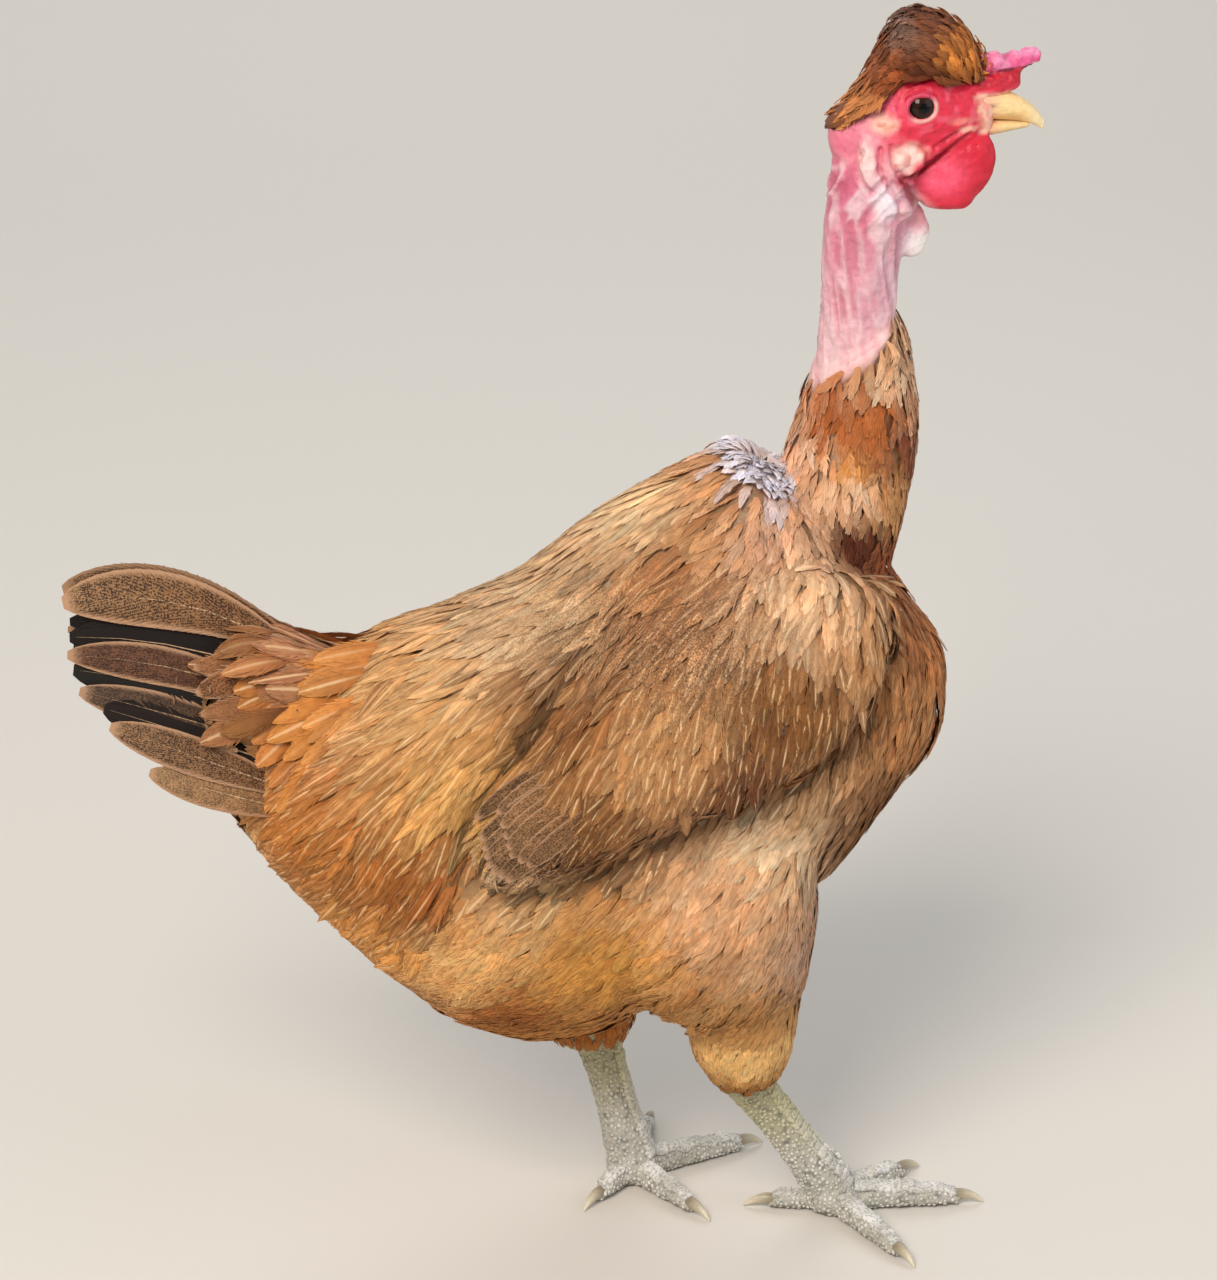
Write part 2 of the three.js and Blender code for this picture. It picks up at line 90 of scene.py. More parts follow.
# %% Camera
LOOK_DOWN = math.radians(22)
LOOK_AROUND = math.radians(6)
DISTANCE = 1.7
LONG_LENS = 125.82
AIM = Vector(to_scene([0, 0, 241.1]))
gaze = Vector((math.sin(LOOK_AROUND) * math.cos(LOOK_DOWN),
               math.cos(LOOK_AROUND) * math.cos(LOOK_DOWN),
               -math.sin(LOOK_DOWN)))
lens = bpy.data.cameras.new("hen_camera")
lens.lens = LONG_LENS
camera = add_object("hen_camera", lens)
camera.location = AIM - DISTANCE * gaze
camera.rotation_euler = gaze.to_track_quat("-Z", "Y").to_euler()
bpy.context.scene.camera = camera
print("camera height", round(camera.location.z, 3))

# %% [markdown]
# Materials are made of nodes. One small function adds a node with its settings, its constants and
# its links, so that each material below reads as a short list. Colours are written as the hex
# values that a painter would mix on screen, and one function turns them to linear light.

# %% Helpers for materials


def linear(hex_colour):
    """An sRGB hex colour as linear red, green, blue and alpha."""
    value = [int(hex_colour[i:i + 2], 16) / 255 for i in (1, 3, 5)]
    return [v / 12.92 if v <= 0.04045 else ((v + 0.055) / 1.055) ** 2.4 for v in value] + [1.0]


def rgb(hex_colour):
    """The same colour as an array of three, for painting points."""
    return np.array(linear(hex_colour)[:3])


def put(tree, kind, sockets=None, **settings):
    """Adds a node: settings are its properties, sockets its constants or the links into it.
    A node given as a link stands for its first usable output."""
    node = tree.nodes.new(kind)
    for name, value in settings.items():
        setattr(node, name, value)
    for key, value in (sockets or {}).items():
        if isinstance(value, bpy.types.Node):
            value = next(output for output in value.outputs if output.enabled)
        if isinstance(value, bpy.types.NodeSocket):
            tree.links.new(value, node.inputs[key])
        else:
            node.inputs[key].default_value = value
    return node


def new_material(name):
    """An empty material and its tree."""
    material = bpy.data.materials.new(name)
    material.use_nodes = True
    material.node_tree.nodes.clear()
    return material, material.node_tree


def end_material(tree, shader):
    put(tree, "ShaderNodeOutputMaterial", {"Surface": shader})


# %% [markdown]
# The floor is a plain pale sheet that curves up behind the bird, as in a studio, so that no
# horizon crosses the picture. A large soft lamp stands high at the bird's right and behind the
# camera, a weaker one fills the far side, and a grey surround softens what is left.

# %% Floor and light
floor_low, floor_reach, rise = -0.0002, 3.0, 2.2
rows_of_floor = 40
floor_points = []
for i in range(rows_of_floor + 1):
    along = i / rows_of_floor * (floor_reach + rise)
    bend = max(0.0, along - floor_reach) / rise * math.pi / 2
    for x in (-4.0, 4.0):
        floor_points.append((x, -1.6 + min(along, floor_reach) + rise * 0.6 * math.sin(bend),
                             floor_low + rise * 0.6 * (1 - math.cos(bend))))
floor_faces = [(2 * i, 2 * i + 1, 2 * i + 3, 2 * i + 2) for i in range(rows_of_floor)]
floor_mesh = bpy.data.meshes.new("floor")
floor_mesh.from_pydata(floor_points, [], floor_faces)
floor_mesh.polygons.foreach_set("use_smooth", [True] * len(floor_faces))
add_object("floor", floor_mesh)

paper, tree = new_material("matt_studio_paper")
here = put(tree, "ShaderNodeTexCoord").outputs["Object"]
grain = put(tree, "ShaderNodeTexNoise", {"Vector": here, "Scale": 400.0})
tooth = put(tree, "ShaderNodeBump", {"Height": grain, "Strength": 0.05})
sheet = put(tree, "ShaderNodeBsdfPrincipled", {
    "Base Color": linear("#d9d4cb"), "Roughness": 0.9, "Normal": tooth})
end_material(tree, sheet)
floor_mesh.materials.append(paper)


def soft_lamp(name, place, size, power, colour):
    """A square area lamp that faces the bird."""
    data = bpy.data.lights.new(name, "AREA")
    data.size = size
    data.energy = power
    data.color = linear(colour)[:3]
    lamp = add_object(name, data)
    lamp.location = place
    lamp.rotation_euler = (AIM - Vector(place)).to_track_quat("-Z", "Y").to_euler()


soft_lamp("key_lamp", (-0.85, -1.7, 1.9), 1.1, 56, "#fff6ec")
soft_lamp("fill_lamp", (1.9, -1.1, 1.1), 1.8, 12, "#eaf1ff")
soft_lamp("back_lamp", (0.2, 1.6, 1.9), 1.4, 14, "#ffffff")
world = bpy.data.worlds.new("grey_surround")
world.use_nodes = True
world.node_tree.nodes["Background"].inputs["Color"].default_value = linear("#dfe3e8")
world.node_tree.nodes["Background"].inputs["Strength"].default_value = 0.55
bpy.context.scene.world = world
bpy.context.scene.view_settings.view_transform = "Standard"

# %% [markdown]
# Some helpers make shapes and some measure them. One turns arrays of points and triangles into a
# mesh. One sweeps an oval along a table of rows, which is how the soft forms of a bird are drawn:
# a few named sections with a smooth blend between them. One gives soft random values in space,
# for anything that must look grown and not ruled. The small ones at the end tell how near a point
# is to a place, a line or a level, as a value that fades from 1 to 0.

# %% Helpers for shapes


def mesh_piece(name, points, triangles, smooth=True):
    """A mesh object at the origin, from drawing points and triangles."""
    points = to_scene(points).astype(np.float32)
    triangles = np.asarray(triangles, np.int32)
    mesh = bpy.data.meshes.new(name)
    mesh.vertices.add(len(points))
    mesh.vertices.foreach_set("co", points.ravel())
    mesh.loops.add(triangles.size)
    mesh.loops.foreach_set("vertex_index", triangles.ravel())
    mesh.polygons.add(len(triangles))
    mesh.polygons.foreach_set("loop_start", np.arange(len(triangles), dtype=np.int32) * 3)
    mesh.update(calc_edges=True)
    mesh.polygons.foreach_set("use_smooth", np.full(len(triangles), smooth))
    return add_object(name, mesh)


def paint(mesh, name, colours):
    """Stores one linear colour for each point."""
    layer = mesh.attributes.new(name, "FLOAT_COLOR", "POINT")
    full = np.ones((len(colours), 4), np.float32)
    full[:, :3] = colours[:, :3]
    layer.data.foreach_set("color", full.ravel())


def unit(vectors):
    """The same directions, each one long."""
    return vectors / np.maximum(np.linalg.norm(vectors, axis=-1, keepdims=True), 1e-9)


def smooth_rows(rows, steps):
    """A table with more rows, on Catmull-Rom curves through the given ones."""
    rows = np.asarray(rows, float)
    padded = np.vstack([rows[:1], rows, rows[-1:]])
    result = []
    for i in range(len(rows) - 1):
        a, b, c, d = padded[i:i + 4]
        for f in np.arange(steps) / steps:
            leave, arrive = (c - a) / 2, (d - b) / 2
            result.append((2 * b - 2 * c + leave + arrive) * f ** 3
                          + (-3 * b + 3 * c - 2 * leave - arrive) * f ** 2 + leave * f + b)
    return np.array(result + [rows[-1]])


def sweep(rows, around=40, steps=5, across=(0, 1, 0), plane=None, caps=(0.6, 0.6), rings=5):
    """A closed oval tube through rows of x, y, z, half width, half depth, with domed ends."""
    rows = smooth_rows(rows, steps)
    centre, wide, deep = rows[:, :3], rows[:, 3], rows[:, 4]
    if plane is None:
        ahead = unit(np.gradient(centre, axis=0))
    else:
        ahead = np.tile(np.asarray(plane, float), (len(rows), 1))
    side = unit(np.asarray(across, float) - (ahead @ np.asarray(across, float))[:, None] * ahead)
    up = np.cross(ahead, side)
    turn = np.linspace(0, math.pi / 2, rings + 2)[1:-1]
    ends = []
    for row, direction, cap in ((0, -1, caps[0]), (-1, 1, caps[1])):
        height = cap * min(wide[row], deep[row])
        ends.append([(centre[row] + direction * height * math.sin(a) * ahead[row], side[row],
                      up[row], wide[row] * math.cos(a), deep[row] * math.cos(a)) for a in turn])
    body = list(zip(centre, side, up, wide, deep))
    loops = ends[0][::-1] + body + ends[1]
    angle = np.linspace(0, 2 * math.pi, around, endpoint=False)[:, None]
    points = [c + w * np.cos(angle) * s + d * np.sin(angle) * u for c, s, u, w, d in loops]
    first = centre[0] - caps[0] * min(wide[0], deep[0]) * ahead[0]
    last = centre[-1] + caps[1] * min(wide[-1], deep[-1]) * ahead[-1]
    points = np.vstack(points + [first[None], last[None]])
    j = np.arange(around)
    k = (j + 1) % around
    low, high = len(points) - 2, len(points) - 1
    top = (len(loops) - 1) * around
    faces = [np.stack([np.full(around, low), k, j], 1),
             np.stack([np.full(around, high), top + j, top + k], 1)]
    for i in range(len(loops) - 1):
        b, t = i * around, (i + 1) * around
        faces += [np.stack([b + j, b + k, t + k], 1), np.stack([b + j, t + k, t + j], 1)]
    return points, np.vstack(faces)


def soft_noise(points, size, seed):
    """Smooth random values between -1 and 1 with features of a given size in millimetres."""
    lattice = np.random.default_rng(seed).uniform(-1, 1, (32, 32, 32))
    place = np.asarray(points, float) / size + 1000
    cell = np.floor(place).astype(int)
    f = place - cell
    f = f * f * (3 - 2 * f)
    total = np.zeros(len(place))
    for corner in range(8):
        step = np.array([corner & 1, corner >> 1 & 1, corner >> 2 & 1])
        weight = np.prod(np.where(step, f, 1 - f), axis=1)
        x, y, z = ((cell + step) % 32).T
        total += weight * lattice[x, y, z]
    return total


def folded(points):
    """The same places, all on the bird's left side."""
    return np.stack([points[:, 0], np.abs(points[:, 1]), points[:, 2]], 1)


def off_line(points, line):
    """Distance from a line of x and z, seen from the side."""
    flat = points[:, [0, 2]]
    best = np.full(len(flat), 1e9)
    line = np.asarray(line, float)
    for a, b in zip(line[:-1], line[1:]):
        t = np.clip(((flat - a) @ (b - a)) / ((b - a) @ (b - a)), 0, 1)
        best = np.minimum(best, np.linalg.norm(flat - a - t[:, None] * (b - a), axis=1))
    return best


def ramp(value, low, high):
    """0 below low, 1 above high and a smooth rise between them."""
    t = np.clip((value - low) / (high - low), 0, 1)
    return t * t * (3 - 2 * t)


def band(value, middle, width):
    """1 at one value and fading on both sides of it."""
    return np.exp(-((value - middle) / width) ** 2)


def near(points, place, radius):
    """1 at a place and fading to 0 beyond about twice the radius."""
    away = (points - np.asarray(place, float)) / np.asarray(radius, float)
    return np.exp(-np.sum(away * away, axis=1))


# %% [markdown]
# ## The skin
# A real bird has one skin. The solid model cuts the body into parts that a person would name, so
# the first step here is to join them again. Parts that stay bare, such as the head, the neck and
# the legs, are swept again from the same sections but much finer, with lids, ear rings, lobes and
# folds added. Parts that carry feathers are copied from the solid model. A voxel remesh then
# melts everything into one closed surface, with no seam anywhere.

# %% Soft forms of the head and neck
NECK = [[434, 84, 116, 14.5], [420, 81.8, 116, 14], [406, 80.3, 112.5, 13.6], [392, 79.4, 108.8, 13],
        [378, 79.2, 107.6, 13], [364, 78.6, 109, 14], [346, 76.5, 111, 15.5], [326, 73, 110, 16]]
HEAD = [[86, 446, 427, 9], [93, 456, 422, 13.6], [102, 462.5, 421, 15.6], [112, 464, 424, 15.6],
        [122, 462, 427, 13.6], [131, 458, 430.8, 10.4], [136, 454.4, 433.6, 8], [139, 453.2, 434.6, 6.8]]


def level(table):
    """Rows cut level, [height, back, front, half width], on the middle line."""
    return [[(b + f) / 2, 0, z, w, (f - b) / 2] for z, b, f, w in table]


def upright(table):
    """Rows cut across the bird, [x, top, bottom, half width], on the middle line."""
    return [[x, 0, (t + b) / 2, w, (t - b) / 2] for x, t, b, w in table]


def ring(centre, radius_x, radius_z, tube, lean, side, around=40, section=10):
    """A closed ring that lies on the side of the head, such as an eyelid."""
    a = np.linspace(0, 2 * math.pi, around, endpoint=False)
    b = np.linspace(0, 2 * math.pi, section, endpoint=False)
    a, b = np.meshgrid(a, b, indexing="ij")
    x = centre[0] + (radius_x + tube * np.cos(b)) * np.cos(a)
    z = centre[2] + (radius_z + tube * np.cos(b)) * np.sin(a)
    y = centre[1] + tube * np.sin(b) + lean * (x - centre[0])
    points = np.stack([x, side * y, z], -1).reshape(-1, 3)
    i, j = np.meshgrid(np.arange(around), np.arange(section), indexing="ij")
    i2, j2 = (i + 1) % around, (j + 1) % section
    quads = [i * section + j, i2 * section + j, i2 * section + j2, i * section + j2]
    q = np.stack([v.ravel() for v in quads], 1)
    return points, np.vstack([q[:, [0, 1, 2]], q[:, [0, 2, 3]]])


def blob(centre, radii, side=RIGHT):
    """A rounded lobe."""
    x, y, z = centre
    rows = [[x, side * y, z - radii[2] * 0.8, radii[1] * 0.6, radii[0] * 0.6],
            [x, side * y, z - radii[2] * 0.3, radii[1] * 0.96, radii[0] * 0.96],
            [x, side * y, z + radii[2] * 0.3, radii[1] * 0.96, radii[0] * 0.96],
            [x, side * y, z + radii[2] * 0.8, radii[1] * 0.6, radii[0] * 0.6]]
    return sweep(rows, around=20, plane=(0, 0, 1), caps=(0.4, 0.4))


bare = [sweep(level(NECK)[::-1], around=64, plane=(0, 0, 1), caps=(0.2, 0.2)),
        sweep(upright(HEAD), around=64, plane=(1, 0, 0), caps=(0.6, 0.35)),
        sweep(upright([[129, 464, 456, 3.6], [134, 465.6, 456.6, 4.6], [140, 466.6, 457, 5],
                       [146, 466, 458, 4.8], [151, 467.2, 459, 4.7], [156.4, 467.4, 461.2, 3.2]]),
              plane=(1, 0, 0), caps=(1, 0.7)),
        sweep(upright([[129, 460, 448, 5], [136, 460.5, 448, 6.7], [142, 460.5, 449, 6.3],
                       [148, 459.5, 451.6, 4.2]]), plane=(1, 0, 0), caps=(1, 0.9)),
        sweep(level([[406, 106, 117, 4.2], [400, 106.5, 119.4, 5], [393, 107, 117.5, 4.2]])[::-1],
              plane=(0, 0, 1), caps=(0.9, 0.9))]
WATTLE = [[438, 126, 138, 5.4, 2.4], [434, 119, 141, 6.2, 3.2], [428, 113, 142, 7, 4],
          [420, 111, 140.5, 7.6, 4.4], [413, 114, 135, 7.6, 3.8]]
# Loose skin: a fold behind the ear, a roll down the throat and the line of the jaw.
FOLD = [[92.5, 12.6, 438, 2.2, 2.6], [93.6, 13, 431, 2.4, 3], [95, 12.8, 424, 2.4, 2.8],
        [99.5, 12.2, 418, 2.2, 2.4]]
ROLL = [[99.8, 13.2, 437, 1.8, 1.8], [100.2, 13.6, 430, 2.1, 2], [103.4, 13.2, 422.5, 2.3, 2.2],
        [107.4, 11.6, 415.5, 2.4, 2.3], [107.6, 10.6, 409.6, 2.2, 2]]
JAW = [[131, 7.2, 441.2, 1.0, 1.1], [124, 10.4, 438.2, 1.8, 1.9], [115, 12.4, 432, 2, 2.2],
       [109, 12, 423.5, 1.8, 2.2], [106, 11, 416, 1.6, 1.8]]


def on_side(rows, side):
    """Rows given for the left, on either side."""
    return [[x, side * y, z, w, d] for x, y, z, w, d in rows]


for side in (RIGHT, LEFT):
    bare.append(sweep([[(b + f) / 2, side * y, z, w, (f - b) / 2] for z, b, f, y, w in WATTLE][::-1],
                      plane=(0, 0, 1), caps=(1, 0.6)))
    bare.append(ring([EYE[0], 15.1, EYE[2] - 0.1], 5.4, 4.6, 0.85, -0.12, side))
    bare.append(blob([98.4, 12.4, 443.2], [4.4, 2.4, 3.2], side))
    bare.append(blob([106.6, 12.2, 430.5], [5.6, 3.6, 6.5], side))
    bare.append(blob([101, 11.4, 414.6], [5, 3.8, 6.4], side))
    bare.append(sweep(on_side(FOLD, side)[::-1], plane=(0, 0, 1)))
    bare.append(sweep(on_side(ROLL, side)[::-1], plane=(0, 0, 1)))
    bare.append(sweep(on_side(JAW, side)))
print("bare head and neck forms", len(bare))

# %% [markdown]
# The legs are bare as well. Each shank is a slim tube between the hock and the foot, thicker at
# both ends. Each toe swells over its joints and lies flat on the floor.

# %% Soft forms of the legs
HOCKS = {"right": [48.5, -27, 68], "left": [-4, 23, 67]}
FEET = {"right": [87.5, -16.5, 9], "left": [11, 16.5, 9]}
# Each toe's heading in degrees, its length and its radius.
TOES = {
    "right": [["middle", -2, 50, 4.7], ["inner", 36, 39, 4.3], ["outer", -64, 46, 4.4],
              ["hind", 172, 24, 4.0]],
    "left": [["middle", 22, 50, 4.7], ["inner", -56, 37, 4.3], ["outer", 74, 42, 4.4],
             ["hind", -130, 23, 4.1]],
}


def toe_rows(side_name, heading, table):
    """Rows of reach, height, half width and half depth along a toe's own line."""
    x, y, _ = FEET[side_name]
    a = math.radians(heading)
    return [[x + r * math.cos(a), y + r * math.sin(a), z, w, d] for r, z, w, d in table]


def toe_across(heading):
    a = math.radians(heading + 90)
    return (math.cos(a), math.sin(a), 0)


legs = []
for side_name in SIDES:
    hock, foot = np.array(HOCKS[side_name], float), np.array(FEET[side_name], float)
    shank = [[-0.12, 1.2], [0, 1.2], [0.3, 1], [0.6, 1], [0.84, 1.14], [1, 1.25]]
    legs.append(sweep([list(hock + (foot - hock) * t) + [6.1 * s, 7.8 * s] for t, s in shank][::-1]))
    pad = [[-0.75, 6.7], [-0.3, 9.7], [0.3, 9.7], [0.75, 6.7]]
    legs.append(sweep([[foot[0], foot[1], 8.6 * (0.72 + s), r, r] for s, r in pad], plane=(0, 0, 1)))
    for digit, heading, length, radius in TOES[side_name]:
        joints = [[3, radius + 2.2, 1.12]] + [
            [length * t, radius * k, k] for t, k in ((0.22, 1.0), (0.36, 1.08), (0.46, 0.9), (0.6, 1.0),
                                                     (0.7, 0.8), (0.83, 0.9), (0.92, 0.7), (1.0, 0.62))]
        rows = toe_rows(side_name, heading, [[r, z, radius * k, radius * k] for r, z, k in joints])
        legs.append(sweep(rows, around=24, steps=3, across=toe_across(heading)))
print("bare leg forms", len(legs))

# %% [markdown]
# The feathered parts come from the solid model. Each copy has its doubled corners merged and is
# swollen by a hair, which closes the thin gaps between neighbours before the remesh.

# %% Join, melt and thin out the skin
FEATHERED = ["trunk", "bib", "tail_coverts", "wing_right", "wing_left", "thigh_right", "thigh_left",
             "drumstick_right", "drumstick_left"]
HAIR = 0.4


def merged_copy(node):
    """Drawing points and triangles of a solid, with doubled corners merged and a little swollen."""
    shape = bmesh.new()
    shape.from_mesh(solids[node].data)
    bmesh.ops.remove_doubles(shape, verts=shape.verts, dist=1e-6)
    bmesh.ops.triangulate(shape, faces=shape.faces)
    bmesh.ops.recalc_face_normals(shape, faces=shape.faces)
    shape.normal_update()
    points = to_drawing([v.co + v.normal * HAIR * MM for v in shape.verts])
    triangles = np.array([[v.index for v in f.verts] for f in shape.faces])
    shape.free()
    return points, triangles


def gather(parts):
    """Several shapes as one list of points and triangles, with the part each triangle is from."""
    points, triangles, owner, count = [], [], [], 0
    for i, (p, t) in enumerate(parts):
        points.append(p)
        triangles.append(t + count)
        owner.append(np.full(len(t), i))
        count += len(p)
    return np.vstack(points), np.vstack(triangles), np.concatenate(owner)


flesh = [merged_copy(node) for node in FEATHERED]
flesh_points, flesh_triangles, flesh_owner = gather(flesh + bare + legs)
skin = mesh_piece("skin", flesh_points, flesh_triangles)


def finish_modifier(piece):
    """Turns a piece with its modifiers into a plain mesh."""
    shape = bpy.data.meshes.new_from_object(piece.evaluated_get(bpy.context.evaluated_depsgraph_get()))
    piece.modifiers.clear()
    old = piece.data
    piece.data = shape
    bpy.data.meshes.remove(old)


melt = skin.modifiers.new("melt", "REMESH")
melt.mode = "VOXEL"
melt.voxel_size = 1.1 * MM
finish_modifier(skin)
print("skin after the remesh", len(skin.data.polygons), "faces")


def points_of(mesh, what="vertices", field="co"):
    values = np.empty(len(getattr(mesh, what)) * 3, np.float32)
    getattr(mesh, what).foreach_get(field, values)
    return values.reshape(-1, 3).astype(float)


place = to_drawing(points_of(skin.data))


def collar_height(points):
    """How far a point lies above the slanting line where the bare neck begins."""
    above = points[:, 2] - 357 - 0.62 * (points[:, 0] - 92) - 0.9 * np.maximum(0, points[:, 0] - 97)
    return np.where(points[:, 0] > 62, above, -50.0)


def feathered(points):
    """1 where feathers hide the skin, 0 where it is bare."""
    return ramp(points[:, 2], 72, 84) * (1 - ramp(collar_height(points), -14, -4))


hidden = feathered(place)
group = skin.vertex_groups.new(name="under_feathers")
for step in range(11):
    chosen = np.flatnonzero(np.round(hidden * 10) == step)
    group.add(chosen.tolist(), step / 10, "REPLACE")
thin = skin.modifiers.new("thin", "DECIMATE")
thin.ratio = 0.26
thin.vertex_group = "under_feathers"
thin.vertex_group_factor = 20.0
finish_modifier(skin)
print("skin after thinning", len(skin.data.polygons), "faces")

# %% [markdown]
# The face is small and is looked at most, so its part of the skin gets four times as many
# facets. Then the skin is relaxed a little and each of its points learns which way is out.

# %% Finer face


def refine(mesh, chosen):
    """Cuts every edge of the chosen faces in two."""
    shape = bmesh.new()
    shape.from_mesh(mesh)
    shape.faces.ensure_lookup_table()
    edges = {e for i in chosen for e in shape.faces[i].edges}
    bmesh.ops.subdivide_edges(shape, edges=list(edges), cuts=1, use_grid_fill=True)
    bmesh.ops.triangulate(shape, faces=shape.faces)
    shape.to_mesh(mesh)
    shape.free()


centres = to_drawing(points_of(skin.data, "polygons", "center"))
face_zone = (centres[:, 0] > 88) & (centres[:, 2] > 408)
refine(skin.data, np.flatnonzero(face_zone))
print("skin triangles", len(skin.data.polygons))


def relax(points, links, weight, rounds):
    """Moves each point toward the middle of its neighbours, by its own weight."""
    a, b = links[:, 0], links[:, 1]
    count = np.bincount(a, minlength=len(points)) + np.bincount(b, minlength=len(points))
    for _ in range(rounds):
        total = np.stack([np.bincount(a, points[b, k], len(points))
                          + np.bincount(b, points[a, k], len(points)) for k in range(3)], 1)
        points = points + weight[:, None] * (total / count[:, None] - points)
    return points


def outward(points, triangles):
    """Unit normals at the points of a triangle mesh."""
    a, b, c = (points[triangles[:, k]] for k in range(3))
    face = np.cross(b - a, c - a)
    total = np.stack([sum(np.bincount(triangles[:, k], face[:, axis], len(points)) for k in range(3))
                      for axis in range(3)], 1)
    return unit(total)


links = np.empty(len(skin.data.edges) * 2, np.int32)
skin.data.edges.foreach_get("vertices", links)
links = links.reshape(-1, 2)
corners = np.empty(len(skin.data.polygons) * 3, np.int32)
skin.data.polygons.foreach_get("vertices", corners)
corners = corners.reshape(-1, 3)
surface = to_drawing(points_of(skin.data))
surface = relax(surface, links, 0.35 + 0.15 * feathered(surface), 4)
bearing = outward(surface, corners)

# %% [markdown]
# ## The coat as a map
# Feathers differ over the body in how they lie, how long they are and how they are tinted. A
# table of named places holds that knowledge, and any point between them takes a blend of its
# neighbours, weighted by nearness. The table speaks of one side only, since both sides match.

